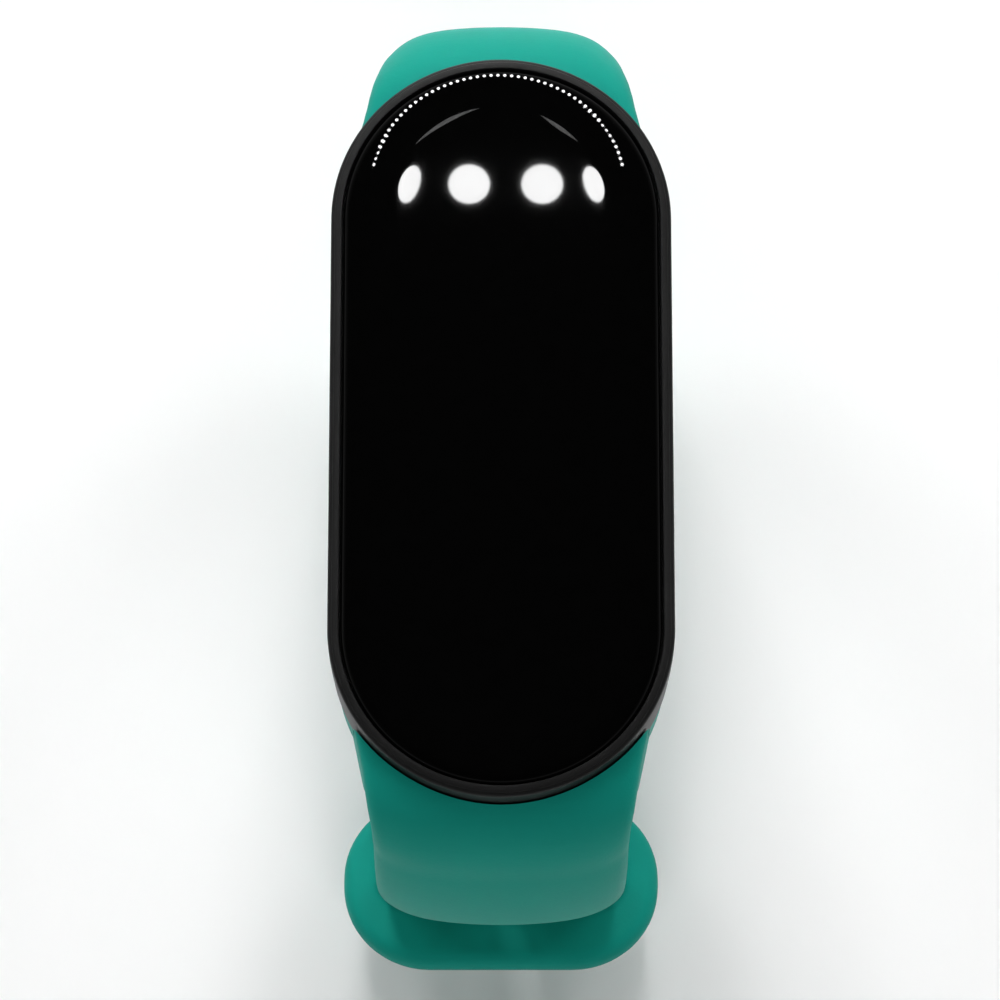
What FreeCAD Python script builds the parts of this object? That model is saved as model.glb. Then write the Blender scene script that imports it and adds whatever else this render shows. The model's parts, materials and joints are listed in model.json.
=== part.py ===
import FreeCAD, Part
import math
import os
import Sketcher
from FreeCAD import Placement, Rotation, Vector

# A fitness tracker band: a pill-shaped tracker capsule clipped into a bent strap that is closed on itself.
# The origin is the centre of the screen's front face. +Z points out of the screen, +Y runs towards the
# capsule's top end and +X to the right of somebody reading the screen. Millimetres throughout.

DRIVING = {
    # capsule outline and its layers, from the screen down
    "caseLength": 46.5, "caseWidth": 20.7, "rimDrop": 0.22, "rimWall": 0.66, "glassGap": 0.12,
    "glassThick": 0.9, "glassEdge": 0.35, "glueWidth": 0.9, "glueThick": 0.2, "flangeDepth": 5.3,
    "tubInset": 1.45, "tubDepth": 5.3, "tubWall": 0.9, "backThick": 1.3, "backBulge": 0.3, "backLip": 0.8,
    "backStepLong": 3.0, "backStepWide": 1.5, "caseEdge": 0.5, "lidFit": 0.06, "sealWide": 0.94,
    # screen stack
    "touchInset": 0.35, "touchThick": 0.2, "panelInset": 0.5, "panelThick": 0.8, "foamThick": 0.2,
    "foamInset": 1.2, "frameThick": 0.6, "frameFit": 0.12, "flexSlotWide": 8.0, "flexSlotLong": 1.4,
    "flexMargin": 1.0, "flexWide": 7.0, "flexThick": 0.3, "layerGap": 0.1,
    # battery, board and what is on it
    "batteryWide": 13.4, "batteryLong": 23.0, "batteryThick": 3.5, "batteryMiddle": 4.2, "tapeThick": 0.15,
    "tapeInset": 1.5, "boardThick": 0.6, "boardFit": 0.35, "cpuSide": 4.6, "cpuThick": 0.9, "cpuPlace": 9.0,
    "memorySide": 3.2, "memoryThick": 0.8, "radioSide": 3.4, "radioThick": 0.85, "motionSide": 2.4,
    "motionThick": 0.8, "chipSpread": 3.4, "antennaWide": 9.0, "antennaLong": 1.6, "antennaThick": 1.2,
    "antennaPlace": 17.4,
    # coin motor
    "motorRadius": 3.4, "motorTall": 2.5, "motorWall": 0.22, "motorBase": 0.3, "motorPlace": 13.2,
    "shaftRadius": 0.35, "shaftFit": 0.05, "hubRadius": 0.85, "rotorRadius": 2.85, "rotorThick": 1.1,
    "rotorSweep": 190.0, "rotorLift": 0.45,
    # optical sensor in the back
    "windowRadius": 4.3, "windowFlange": 0.6, "windowFlangeThick": 0.35, "windowFit": 0.04,
    "sensorWide": 10.4, "sensorLong": 9.0, "sensorThick": 0.45, "lampSide": 1.1, "lampThick": 0.4,
    "lampPlace": 1.1, "diodeWide": 1.7, "diodeLong": 2.2, "diodeThick": 0.45, "diodePlace": 3.0,
    "baffleWall": 0.35, "baffleWide": 4.2, "baffleLong": 3.2, "baffleTall": 0.7,
    # charging contacts
    "contactRadius": 1.25, "contactFlange": 0.45, "contactFlangeThick": 0.4, "contactSpread": 5.0,
    "contactPlace": 13.6, "contactProud": 0.1, "sealWire": 0.25,
    # strap cradle that holds the capsule
    "cradleFit": 0.12, "cradleInset": 0.25, "cradleTopGap": 0.05, "cradleTall": 5.1,
    # strap section, and the roots of its two arms
    "strapWide": 15.7, "strapThick": 2.2, "tailThick": 2.0, "strapEdge": 0.7, "wrapGap": 0.2,
    "edgeShare": 0.4, "rootInset": 7.75, "rootLong": 5.5, "rootTop": 1.2, "rootTall": 8.0, "rootWide": 18.9,
    "flareRun": 2.9, "neckThick": 2.9, "shoulderSteps": 6,
    # bends of the short arm and of the long one, from the cradle down
    "upperNeckRadius": 7.2, "upperNeckTurn": 70.0, "upperSideRadius": 32.0, "upperSideTurn": 20.0,
    "upperFallRadius": 42.0, "upperFallTurn": 20.0, "upperCurveRadius": 18.0, "upperCurveTurn": 70.0,
    "lowerNeckRadius": 4.6, "lowerNeckTurn": 78.0, "lowerSideRadius": 30.0, "lowerSideTurn": 27.0,
    "lowerFallRadius": 120.0, "lowerFallTurn": 1.5, "foldRadius": 4.4,
    # keeper loop at the end of the short arm
    "loopWide": 21.2, "loopLong": 12.2, "loopCorner": 5.8, "loopThick": 2.3, "loopEdge": 0.9,
    "loopTilt": 8.0, "slotWide": 16.6, "slotLong": 4.0, "slotCorner": 1.6, "loopLap": 1.8,
    "lapWide": 11.0, "lapInto": 1.0,
    # stud and the holes that it buttons into
    "studPitches": 2.5, "studRadius": 1.0, "studFit": 0.15, "studHeadRadius": 1.7, "studHeadThick": 0.6,
    "studHeadGap": 0.06, "discRadius": 3.0, "discThick": 0.6, "discFit": 0.05, "holePitch": 5.0,
    "holeLong": 3.4, "holesBefore": 4, "holesAfter": 7, "flatHoles": 4, "middleHoles": 2,
    "tipBeyond": 8.0, "tipCorner": 6.5,
    # how far a cutter runs past what it cuts
    "overcut": 1.0,
}

doc = FreeCAD.newDocument("tracker_band")
sheet = doc.addObject("Spreadsheet::Sheet", "sizes")
for row, (name, value) in enumerate(DRIVING.items(), start=1):
    sheet.set(f"A{row}", name)
    sheet.set(f"B{row}", str(value))
    sheet.setAlias(f"B{row}", name)
doc.recompute()

nodes = {}  # label of each finished sub-part: its object


def size(name):
    return float(sheet.get(name))


def bind(obj, **expressions):
    """Ties properties to the sheet. Two underscores stand for a dot in a property's path."""
    for path, expression in expressions.items():
        obj.setExpression(path.replace("__", "."), expression)


def finish(obj, label):
    obj.Label = label
    nodes[label] = obj
    return obj


# ---------------------------------------------------------------- building blocks

# depths below the screen's front face, as expressions on the sheet
FLANGE_UNDER = "sizes.flangeDepth"
TUB_UNDER = "(sizes.flangeDepth + sizes.tubDepth)"
RECESS_LONG = "(sizes.caseLength - 2 * sizes.rimWall)"
RECESS_WIDE = "(sizes.caseWidth - 2 * sizes.rimWall)"
GLASS_LONG = "(sizes.caseLength - 2 * sizes.rimWall - 2 * sizes.glassGap)"
GLASS_WIDE = "(sizes.caseWidth - 2 * sizes.rimWall - 2 * sizes.glassGap)"
TUB_LONG = "(sizes.caseLength - 2 * sizes.tubInset)"
TUB_WIDE = "(sizes.caseWidth - 2 * sizes.tubInset)"
BORE_LONG = f"({TUB_LONG} - 2 * sizes.tubWall)"
BORE_WIDE = f"({TUB_WIDE} - 2 * sizes.tubWall)"
GLUE_UNDER = "(sizes.glassThick + sizes.glueThick)"
WELL_LONG = f"({GLASS_LONG} - 2 * sizes.glueWidth)"
WELL_WIDE = f"({GLASS_WIDE} - 2 * sizes.glueWidth)"
PANEL_TOP = "(sizes.glassThick + sizes.touchThick)"
FRAME_TOP = f"({PANEL_TOP} + sizes.panelThick + sizes.foamThick + sizes.layerGap)"
BATTERY_TOP = f"({FRAME_TOP} + sizes.frameThick + sizes.layerGap)"
BOARD_TOP = f"({BATTERY_TOP} + sizes.batteryThick + sizes.tapeThick + sizes.layerGap)"
BOARD_UNDER = f"({BOARD_TOP} + sizes.boardThick)"
COVER_INNER = TUB_UNDER
COVER_UNDER = f"({TUB_UNDER} + sizes.backThick)"
BACK_FACE = f"({TUB_UNDER} + sizes.backThick + sizes.backBulge)"
WINDOW_TOP = f"({COVER_INNER} - sizes.windowFlangeThick)"
SENSOR_UNDER = f"({WINDOW_TOP} - sizes.baffleTall)"


def plane_of(body, role):
    return next(f for f in body.Origin.OriginFeatures if f.Role == role)


def pill_sketch(body, name, length, width, drop):
    """A closed outline of two half circles and two straight sides, drop below the body's own top."""
    sketch = body.newObject("Sketcher::SketchObject", name)
    sketch.AttachmentSupport = [(plane_of(body, "XY_Plane"), "")]
    sketch.MapMode = "FlatFace"
    bind(sketch, AttachmentOffset__Base__z=f"-({drop})")
    half, reach = 5.0, 10.0
    up, normal = Vector(0, reach, 0), Vector(0, 0, 1)
    top = Part.ArcOfCircle(Part.Circle(up, normal, half), 0, math.pi)
    low = Part.ArcOfCircle(Part.Circle(-up, normal, half), math.pi, 2 * math.pi)
    left = Part.LineSegment(Vector(-half, reach, 0), Vector(-half, -reach, 0))
    right = Part.LineSegment(Vector(half, -reach, 0), Vector(half, reach, 0))
    for geometry in (top, left, low, right):
        sketch.addGeometry(geometry, False)
    for first, end, second, start in ((0, 2, 1, 1), (1, 2, 2, 1), (2, 2, 3, 1), (3, 2, 0, 1)):
        sketch.addConstraint(Sketcher.Constraint("Tangent", first, end, second, start))
    for arc, sign in ((0, 1), (2, -1)):
        sketch.addConstraint(Sketcher.Constraint("PointOnObject", arc, 3, -2))
        reached = Sketcher.Constraint("DistanceY", -1, 1, arc, 3, sign * reach)
        place = sketch.addConstraint(reached)
        sketch.setExpression(f"Constraints[{place}]", f"{sign} * ({length} - ({width})) / 2")
    sketch.addConstraint(Sketcher.Constraint("Equal", 0, 2))
    across = sketch.addConstraint(Sketcher.Constraint("Radius", 0, half))
    sketch.setExpression(f"Constraints[{across}]", f"({width}) / 2")
    return sketch


def pill_pad(body, name, length, width, depth, drop="0"):
    pad = body.newObject("PartDesign::Pad", name)
    pad.Profile = pill_sketch(body, name + "_outline", length, width, drop)
    pad.Reversed = True
    bind(pad, Length=depth)
    return pad


def pill_pocket(body, name, length, width, depth, drop="0"):
    """Cuts down from drop below the body's top, and fails if nothing was cut."""
    doc.recompute()
    before = body.Shape.Volume
    pocket = body.newObject("PartDesign::Pocket", name)
    pocket.Profile = pill_sketch(body, name + "_outline", length, width, drop)
    bind(pocket, Length=depth)
    doc.recompute()
    assert body.Shape.Volume < before, f"{name} cuts nothing"
    return pocket


def pill(name, length, width, depth, top="0"):
    body = doc.addObject("PartDesign::Body", name)
    bind(body, Placement__Base__z=f"-({top})")
    pill_pad(body, name + "_pad", length, width, depth)
    return body


def pill_body(label, length, width, depth, top="0"):
    return finish(pill(label, length, width, depth, top), label)


def round_edges(body, name, level, radius):
    """Rounds the outermost outline's edges that lie at one height of the body's own frame."""
    doc.recompute()
    tip = body.Tip
    edges = [(i, e) for i, e in enumerate(tip.Shape.Edges, start=1) if abs(e.BoundBox.ZMax - level) < 1e-5
             and abs(e.BoundBox.ZMin - level) < 1e-5]
    widest = max(e.BoundBox.XMax for _, e in edges)
    reach = {i: max(abs(e.BoundBox.XMax), abs(e.BoundBox.XMin)) for i, e in edges}
    edges = [(i, e) for i, e in edges if reach[i] > widest - 1e-4]
    rounded = body.newObject("PartDesign::Fillet", name)
    rounded.Base = (tip, [f"Edge{i}" for i, _ in edges])
    bind(rounded, Radius=radius)
    return rounded


def block(name, wide, long, tall, x="0", y="0", top="0"):
    """A box centred on x and y whose upper face is top below the screen."""
    box = doc.addObject("Part::Box", name)
    bind(box, Width=long, Length=wide, Height=tall, Placement__Base__x=f"{x} - ({wide}) / 2",
         Placement__Base__y=f"{y} - ({long}) / 2", Placement__Base__z=f"-({top}) - ({tall})")
    return box


def disc(name, radius, tall, x="0", y="0", top="0"):
    round_bar = doc.addObject("Part::Cylinder", name)
    bind(round_bar, Radius=radius, Height=tall, Placement__Base__x=x, Placement__Base__y=y,
         Placement__Base__z=f"-({top}) - ({tall})")
    return round_bar


def cut(name, base, *tools):
    for number, tool in enumerate(tools):
        joined = doc.addObject("Part::Cut", f"{name}_cut{number}")
        joined.Base, joined.Tool = base, tool
        base = joined
    return base


def join(name, *pieces):
    joined = doc.addObject("Part::MultiFuse", name + "_joined")
    joined.Shapes = list(pieces)
    joined.Refine = True
    return joined


def group(name, *pieces):
    together = doc.addObject("Part::Compound", name + "_set")
    together.Links = list(pieces)
    return together


# ---------------------------------------------------------------- the capsule's shells and screen

def cover_glass():
    """The screen's lens: its front edge is rounded over."""
    body = pill_body("cover_glass", GLASS_LONG, GLASS_WIDE, "sizes.glassThick")
    round_edges(body, "glass_round", 0, "sizes.glassEdge")


def case_body():
    """The moulded case: a wide flange round the screen and a narrower tub below it, open right through."""
    body = pill_body("case_body", "sizes.caseLength", "sizes.caseWidth",
                     "sizes.flangeDepth - sizes.rimDrop", "sizes.rimDrop")
    pill_pad(body, "tub", TUB_LONG, TUB_WIDE, "sizes.tubDepth", "sizes.flangeDepth - sizes.rimDrop")
    pill_pocket(body, "recess", RECESS_LONG, RECESS_WIDE, f"{GLUE_UNDER} - sizes.rimDrop")
    pill_pocket(body, "well", WELL_LONG, WELL_WIDE, f"{FRAME_TOP} + sizes.frameThick - sizes.rimDrop")
    pill_pocket(body, "bore", BORE_LONG, BORE_WIDE, f"{TUB_UNDER} - sizes.rimDrop + sizes.overcut")
    round_edges(body, "flange_round", size("rimDrop") - size("flangeDepth"), "sizes.caseEdge")


def screen_glue():
    body = pill_body("screen_glue", GLASS_LONG, GLASS_WIDE, "sizes.glueThick", "sizes.glassThick")
    pill_pocket(body, "glue_window", WELL_LONG, WELL_WIDE, "sizes.glueThick")


def touch_layer():
    inset = "2 * sizes.touchInset"
    pill_body("touch_layer", f"{WELL_LONG} - {inset}", f"{WELL_WIDE} - {inset}", "sizes.touchThick",
              "sizes.glassThick")


def display_panel():
    inset = "2 * sizes.panelInset"
    pill_body("display_panel", f"{WELL_LONG} - {inset}", f"{WELL_WIDE} - {inset}", "sizes.panelThick",
              PANEL_TOP)


def display_foam():
    inset = "2 * sizes.foamInset"
    pill_body("display_foam", f"{WELL_LONG} - {inset}", f"{WELL_WIDE} - {inset}", "sizes.foamThick",
              f"{PANEL_TOP} + sizes.panelThick")


FLEX_PLACE = f"({BORE_LONG} / 2 - sizes.flexSlotLong - sizes.flexMargin)"


def inner_frame():
    """The plate behind the screen, with a slot that lets the display's ribbon down to the board."""
    inset = "2 * sizes.frameFit"
    body = pill("frame_plate", f"{WELL_LONG} - {inset}", f"{WELL_WIDE} - {inset}", "sizes.frameThick",
                FRAME_TOP)
    slot = block("frame_slot", "sizes.flexSlotWide", "sizes.flexSlotLong",
                 "sizes.frameThick + 2 * sizes.overcut", y=FLEX_PLACE, top=f"{FRAME_TOP} - sizes.overcut")
    finish(cut("frame", body, slot), "inner_frame")


def display_ribbon():
    """The ribbon from the display, through the frame's slot and down to the board."""
    drop = f"{BOARD_TOP} - ({PANEL_TOP} + sizes.panelThick + sizes.foamThick)"
    ribbon = block("ribbon", "sizes.flexWide", "sizes.flexThick", drop, y=FLEX_PLACE,
                   top=f"{PANEL_TOP} + sizes.panelThick + sizes.foamThick")
    finish(ribbon, "display_ribbon")


def back_cover():
    """The lid that closes the tub from the wrist side, with a lip that plugs in and a raised middle."""
    body = pill("lid_plate", TUB_LONG, TUB_WIDE, "sizes.backThick", COVER_INNER)
    pill_pad(body, "bulge", f"{TUB_LONG} - 2 * sizes.backStepLong", f"{TUB_WIDE} - 2 * sizes.backStepWide",
             "sizes.backBulge", "sizes.backThick")
    round_edges(body, "lid_round", -size("backThick"), "sizes.caseEdge")
    above = f"{COVER_INNER} - sizes.overcut"
    through = "sizes.backThick + sizes.backBulge + 2 * sizes.overcut"
    window = disc("window_seat", "sizes.windowRadius + sizes.windowFit", through, top=above)
    holes = [disc(f"contact_bore{side}", "sizes.contactRadius + sizes.windowFit", through,
                  x=f"{sign} * sizes.contactSpread / 2", y="sizes.contactPlace", top=above)
             for side, sign in (("_left", -1), ("_right", 1))]
    finish(cut("lid", body, window, *holes), "back_cover")


def back_seal():
    """The flat ring between the case and the lid's lip."""
    outer = f"{BORE_LONG} - 2 * sizes.lidFit", f"{BORE_WIDE} - 2 * sizes.lidFit"
    body = pill_body("back_seal", *outer, "sizes.backLip", f"{COVER_INNER} - sizes.backLip")
    thin = "2 * (sizes.lidFit + sizes.sealWide)"
    pill_pocket(body, "seal_window", f"{BORE_LONG} - {thin}", f"{BORE_WIDE} - {thin}", "sizes.backLip")


# ---------------------------------------------------------------- what the capsule holds

def battery():
    finish(block("cell", "sizes.batteryWide", "sizes.batteryLong", "sizes.batteryThick",
                 y="sizes.batteryMiddle", top=BATTERY_TOP), "battery_cell")
    inset = "2 * sizes.tapeInset"
    finish(block("tape", f"sizes.batteryWide - {inset}", f"sizes.batteryLong - {inset}", "sizes.tapeThick",
                 y="sizes.batteryMiddle", top=f"{BATTERY_TOP} + sizes.batteryThick"), "battery_tape")


def main_board():
    """The circuit board, with what is soldered under it."""
    inset = "2 * sizes.boardFit"
    pill_body("main_board", f"{BORE_LONG} - {inset}", f"{BORE_WIDE} - {inset}", "sizes.boardThick", BOARD_TOP)
    chips = {
        "processor_chip": ("cpu", "0", "-sizes.cpuPlace"),
        "memory_chip": ("memory", "sizes.chipSpread", "sizes.cpuPlace"),
        "radio_chip": ("radio", "-sizes.chipSpread", "sizes.cpuPlace"),
        "motion_chip": ("motion", "0", "-sizes.cpuPlace - sizes.cpuSide"),
    }
    for label, (kind, x, y) in chips.items():
        side = f"sizes.{kind}Side"
        finish(block(kind, side, side, f"sizes.{kind}Thick", x, y, BOARD_UNDER), label)
    finish(block("antenna_bar", "sizes.antennaWide", "sizes.antennaLong", "sizes.antennaThick",
                 y="-sizes.antennaPlace", top=f"{BOARD_TOP} - sizes.antennaThick"), "antenna")


MOTOR_TOP = BATTERY_TOP
MOTOR_Y = "-sizes.motorPlace"


def coin_motor():
    """A coin motor: a can with a fixed shaft, and an uneven weight that spins on it."""
    inside = "sizes.motorRadius - sizes.motorWall"
    can = disc("can", "sizes.motorRadius", "sizes.motorTall - sizes.motorBase", y=MOTOR_Y, top=MOTOR_TOP)
    hollow = disc("can_hollow", inside, "sizes.motorTall", y=MOTOR_Y, top=f"{MOTOR_TOP} + sizes.motorWall")
    finish(cut("motor_can", can, hollow), "motor_can")
    under = f"{MOTOR_TOP} + sizes.motorTall - sizes.motorBase"
    finish(disc("motor_plate", "sizes.motorRadius", "sizes.motorBase", y=MOTOR_Y, top=under), "motor_base")
    finish(disc("axle", "sizes.shaftRadius", "sizes.motorTall - sizes.motorBase - sizes.motorWall",
                y=MOTOR_Y, top=f"{MOTOR_TOP} + sizes.motorWall"), "motor_shaft")
    top = f"{MOTOR_TOP} + sizes.motorWall + sizes.rotorLift"
    hub = disc("rotor_hub", "sizes.hubRadius", "sizes.rotorThick", y=MOTOR_Y, top=top)
    weight = disc("rotor_sector", "sizes.rotorRadius", "sizes.rotorThick", y=MOTOR_Y, top=top)
    bind(weight, Angle="sizes.rotorSweep")
    bore = disc("rotor_bore", "sizes.shaftRadius + sizes.shaftFit", "sizes.motorTall", y=MOTOR_Y,
                top=MOTOR_TOP)
    finish(cut("rotor", join("rotor", hub, weight), bore), "rotor_weight")


def optical_sensor():
    """The pulse sensor: lamps and light detectors on their own board, a light baffle and a clear window."""
    finish(block("sensor_plate", "sizes.sensorWide", "sizes.sensorLong", "sizes.sensorThick",
                 top=f"{SENSOR_UNDER} - sizes.sensorThick"), "sensor_board")
    lamps = [block(f"lamp{side}", "sizes.lampSide", "sizes.lampSide", "sizes.lampThick",
                   x=f"{sign} * sizes.lampPlace", top=SENSOR_UNDER)
             for side, sign in (("_left", -1), ("_right", 1))]
    finish(group("lamps", *lamps), "sensor_lamps")
    diodes = [block(f"diode{side}", "sizes.diodeWide", "sizes.diodeLong", "sizes.diodeThick",
                    x=f"{sign} * sizes.diodePlace", top=SENSOR_UNDER)
              for side, sign in (("_left", -1), ("_right", 1))]
    finish(group("diodes", *diodes), "light_detectors")
    outside = block("baffle_outside", "sizes.baffleWide", "sizes.baffleLong", "sizes.baffleTall",
                    top=SENSOR_UNDER)
    thin = "2 * sizes.baffleWall"
    inside = block("baffle_inside", f"sizes.baffleWide - {thin}", f"sizes.baffleLong - {thin}",
                   "sizes.baffleTall + 2 * sizes.overcut", top=f"{SENSOR_UNDER} - sizes.overcut")
    finish(cut("baffle", outside, inside), "light_baffle")
    flange = disc("window_flange", "sizes.windowRadius + sizes.windowFlange", "sizes.windowFlangeThick",
                  top=WINDOW_TOP)
    lens = disc("window_lens", "sizes.windowRadius", f"{BACK_FACE} - {COVER_INNER}", top=COVER_INNER)
    finish(join("window", flange, lens), "sensor_window")
    finish(block("sensor_link", "sizes.flexWide / 2", "sizes.flexThick",
                 f"{SENSOR_UNDER} - sizes.sensorThick - {BOARD_UNDER}", y="sizes.sensorLong / 4",
                 top=BOARD_UNDER), "sensor_ribbon")


def charging_contacts():
    """Two flanged pins through the lid, each sealed by a small ring."""
    pins, seals = [], []
    for side, sign in (("_left", -1), ("_right", 1)):
        x, y = f"{sign} * sizes.contactSpread / 2", "sizes.contactPlace"
        seal_top = f"{COVER_INNER} - 2 * sizes.sealWire"
        flange = disc("contact_flange" + side, "sizes.contactRadius + sizes.contactFlange",
                      "sizes.contactFlangeThick", x, y, f"{seal_top} - sizes.contactFlangeThick")
        pin = disc("contact_pin" + side, "sizes.contactRadius",
                   f"2 * sizes.sealWire + {COVER_UNDER} - {COVER_INNER} + sizes.contactProud", x, y, seal_top)
        pins.append(join("contact" + side, flange, pin))
        ring = disc("seal_outside" + side, "sizes.contactRadius + 2 * sizes.sealWire", "2 * sizes.sealWire",
                    x, y, seal_top)
        hole = disc("seal_hole" + side, "sizes.contactRadius", "2 * sizes.sealWire + 2 * sizes.overcut", x, y,
                    f"{seal_top} - sizes.overcut")
        seals.append(cut("seal" + side, ring, hole))
    finish(group("contacts", *pins), "charge_contacts")
    finish(group("contact_seals", *seals), "contact_seals")


# ---------------------------------------------------------------- the strap

class Route:
    """A strap arm's centreline seen from the side: arcs and straight runs, each tangent to the one before.

    The heading is 0 along the arm's own side of Y and turns downwards, so it is 90 pointing down. Spans are
    kept by name, in order, as (length, radius), with radius 0 for a straight run.
    """

    def __init__(self, side, spans):
        self.side = side
        begin = size("caseLength") / 2 - size("rootInset")
        self.start = side * begin, -size("rootTop") - size("rootTall") / 2
        self.spans = {"root": (size("rootLong"), 0), **spans}

    def after(self, name):
        """How far along the arm a span ends."""
        names = list(self.spans)
        return sum(self.spans[n][0] for n in names[:names.index(name) + 1])

    def at(self, travel):
        """(y, z, heading in radians) at a distance along the arm."""
        (y, z), heading = self.start, 0.0
        for length, radius in self.spans.values():
            step = min(travel, length)
            turned = heading + (step / radius if radius else 0)
            if radius:
                y += self.side * radius * (math.sin(turned) - math.sin(heading))
                z += radius * (math.cos(turned) - math.cos(heading))
            else:
                y += self.side * step * math.cos(heading)
                z -= step * math.sin(heading)
            heading, travel = turned, travel - step
            if travel <= 0:
                break
        return y, z, heading

    def point(self, travel, out=0.0, x=0.0):
        """A point that lies out from the centreline, away from the wrist."""
        y, z, heading = self.at(travel)
        return Vector(x, y + self.side * out * math.sin(heading), z + out * math.cos(heading))

    def edges(self, begin, end, out, x):
        """The arcs and lines between two distances, offset from the centreline."""
        found, passed = [], 0.0
        for length, radius in self.spans.values():
            low, high = max(begin, passed), min(end, passed + length)
            passed += length
            if high - low < 1e-6:
                continue
            first, last = self.point(low, out, x), self.point(high, out, x)
            if radius:
                found.append(Part.Arc(first, self.point((low + high) / 2, out, x), last).toShape())
            else:
                found.append(Part.LineSegment(first, last).toShape())
        return found

    def across(self, travel):
        """A placement whose X is across the strap, Y along the arm and Z away from the wrist."""
        _, _, heading = self.at(travel)
        along = Vector(0, self.side * math.cos(heading), -math.sin(heading))
        away = Vector(0, self.side * math.sin(heading), math.cos(heading))
        return Placement(self.point(travel), Rotation(along.cross(away), along, away))


def bend(arm, part, wider=0.0):
    """A bend of the short or long arm, or of what lies outside it at a wider radius."""
    radius = size(f"{arm}{part}Radius") + wider
    return math.radians(size(f"{arm}{part}Turn")) * radius, radius


def lap():
    """How far the tail's centreline lies outside the short arm's."""
    return (size("strapThick") + size("tailThick")) / 2 + size("wrapGap")


def loop_root(flat, fold_centre):
    """Where the keeper begins, as a distance on the long arm's side of Y.

    The bar on the strap's side of the slot nests in the long arm's fold, a wrap gap inside it.
    """
    bar = (size("loopLong") - size("slotLong")) / 2
    tilt, edge = math.radians(size("loopTilt")), size("loopEdge")
    corner = flat + bar * math.sin(tilt) - size("loopThick") / 2 + edge
    drop = flat - lap() + size("foldRadius") - corner
    reach = size("foldRadius") - size("tailThick") / 2 - size("wrapGap") - edge
    return fold_centre + math.sqrt(max(reach ** 2 - drop ** 2, 0)) + edge - bar * math.cos(tilt)


def arm_routes():
    """The short arm down and round to the keeper, and the long arm through the keeper and back outside it."""
    spans = {part: bend("upper", part) for part in ("Neck", "Side", "Fall", "Curve")}
    bare = Route(1, spans)
    curve_end, flat, _ = bare.at(bare.after("Curve"))
    down_spans = {part: bend("lower", part) for part in ("Neck", "Side", "Fall")}
    came = Route(-1, down_spans)
    _, low, heading = came.at(came.after("Fall"))
    folded = size("foldRadius") * (1 + math.cos(heading))
    straight = (low - (flat - lap()) - folded) / math.sin(heading)
    down_spans["Drop"] = straight, 0
    down_spans["Fold"] = (math.pi - heading) * size("foldRadius"), size("foldRadius")
    came = Route(-1, down_spans)
    fold_centre, _, _ = came.at(came.after("Fold"))
    down_spans["Flat"] = curve_end - fold_centre, 0
    down_spans["TailCurve"] = bend("upper", "Curve", lap())
    down_spans["TailRise"] = bend("upper", "Fall", lap())
    spans["Flat"] = curve_end + loop_root(flat, -fold_centre), 0
    return Route(1, spans), Route(-1, down_spans)


def edge_radius(thick):
    return min(size("strapEdge"), size("edgeShare") * thick)


def strip(route, begin, end, thick, wide, tip=0.0):
    """A length of plain strap, its four long edges rounded, and its far corners too if it has a tip."""
    outer = route.edges(begin, end, thick / 2, -wide / 2)
    inner = route.edges(begin, end, -thick / 2, -wide / 2)
    ends = [Part.LineSegment(route.point(at, thick / 2, -wide / 2),
                             route.point(at, -thick / 2, -wide / 2)).toShape() for at in (begin, end)]
    outline = Part.Wire(Part.__sortEdges__([*outer, *inner, *ends]))
    solid = Part.Face(outline).extrude(Vector(wide, 0, 0))

    def lies_at(edge, travel):
        place = route.across(travel)
        along = place.Rotation.multVec(Vector(0, 1, 0))
        return all(abs((v.Point - place.Base).dot(along)) < 1e-4 for v in edge.Vertexes)

    def through_thickness(edge):
        return edge.BoundBox.XLength < 1e-5 and abs(edge.Length - thick) < 1e-4

    def rounded(edge):
        seam = abs(edge.BoundBox.XLength - wide) < 1e-4
        at_end = lies_at(edge, begin) or (lies_at(edge, end) and not tip)
        return not (seam or at_end or through_thickness(edge))

    if tip:
        solid = solid.makeFillet(tip, [e for e in solid.Edges if lies_at(e, end) and through_thickness(e)])
    return solid.makeFillet(edge_radius(thick), [e for e in solid.Edges if rounded(e)])


def rounded_section(place, thick, wide):
    """A wire across the strap with rounded corners."""
    radius = edge_radius(thick)
    edges, points = [], []
    for number, (sx, sz) in enumerate(((1, 1), (-1, 1), (-1, -1), (1, -1))):
        middle = Vector(sx * (wide / 2 - radius), 0, sz * (thick / 2 - radius))
        angles = [math.pi / 2 * number + math.pi / 4 * step for step in range(3)]
        points.append([middle + Vector(math.cos(a), 0, math.sin(a)) * radius for a in angles])
    for corner, following in zip(points, points[1:] + points[:1]):
        edges.append(Part.Arc(*corner).toShape())
        edges.append(Part.LineSegment(corner[2], following[0]).toShape())
    wire = Part.Wire(edges)
    wire.Placement = place
    return wire


def shoulder(route):
    """The thick, flared root of an arm, which thins and narrows down to the strap's own section."""
    root, neck = route.after("root"), route.after("Neck")
    steps = int(size("shoulderSteps"))
    stations = [0, root / 2] + [root + (neck - root) * step / steps for step in range(steps + 1)]
    sections = []
    for travel in stations:
        thinned = max(travel - root, 0) / (neck - root)
        thinned = thinned * thinned * (3 - 2 * thinned)
        flared = max(1 - travel / (root + size("flareRun")), 0)
        thick = size("rootTall") + (size("neckThick") - size("rootTall")) * thinned
        wide = size("strapWide") + (size("rootWide") - size("strapWide")) * flared
        sections.append(rounded_section(route.across(travel), thick, wide))
    return Part.makeLoft(sections, True, True)


def pill_prism(length, width, top, depth):
    """A pill-shaped block that hangs down from top."""
    radius, reach = width / 2, (length - width) / 2
    bar = Part.makeBox(width, 2 * reach, depth, Vector(-radius, -reach, top - depth))
    ends = [Part.makeCylinder(radius, depth, Vector(0, sign * reach, top - depth)) for sign in (-1, 1)]
    return bar.multiFuse(ends).removeSplitter()


def set_shape(label, shape):
    feature = doc.addObject("Part::Feature", label)
    feature.Shape = shape
    feature.Placement = Placement()
    return finish(feature, label)


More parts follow.
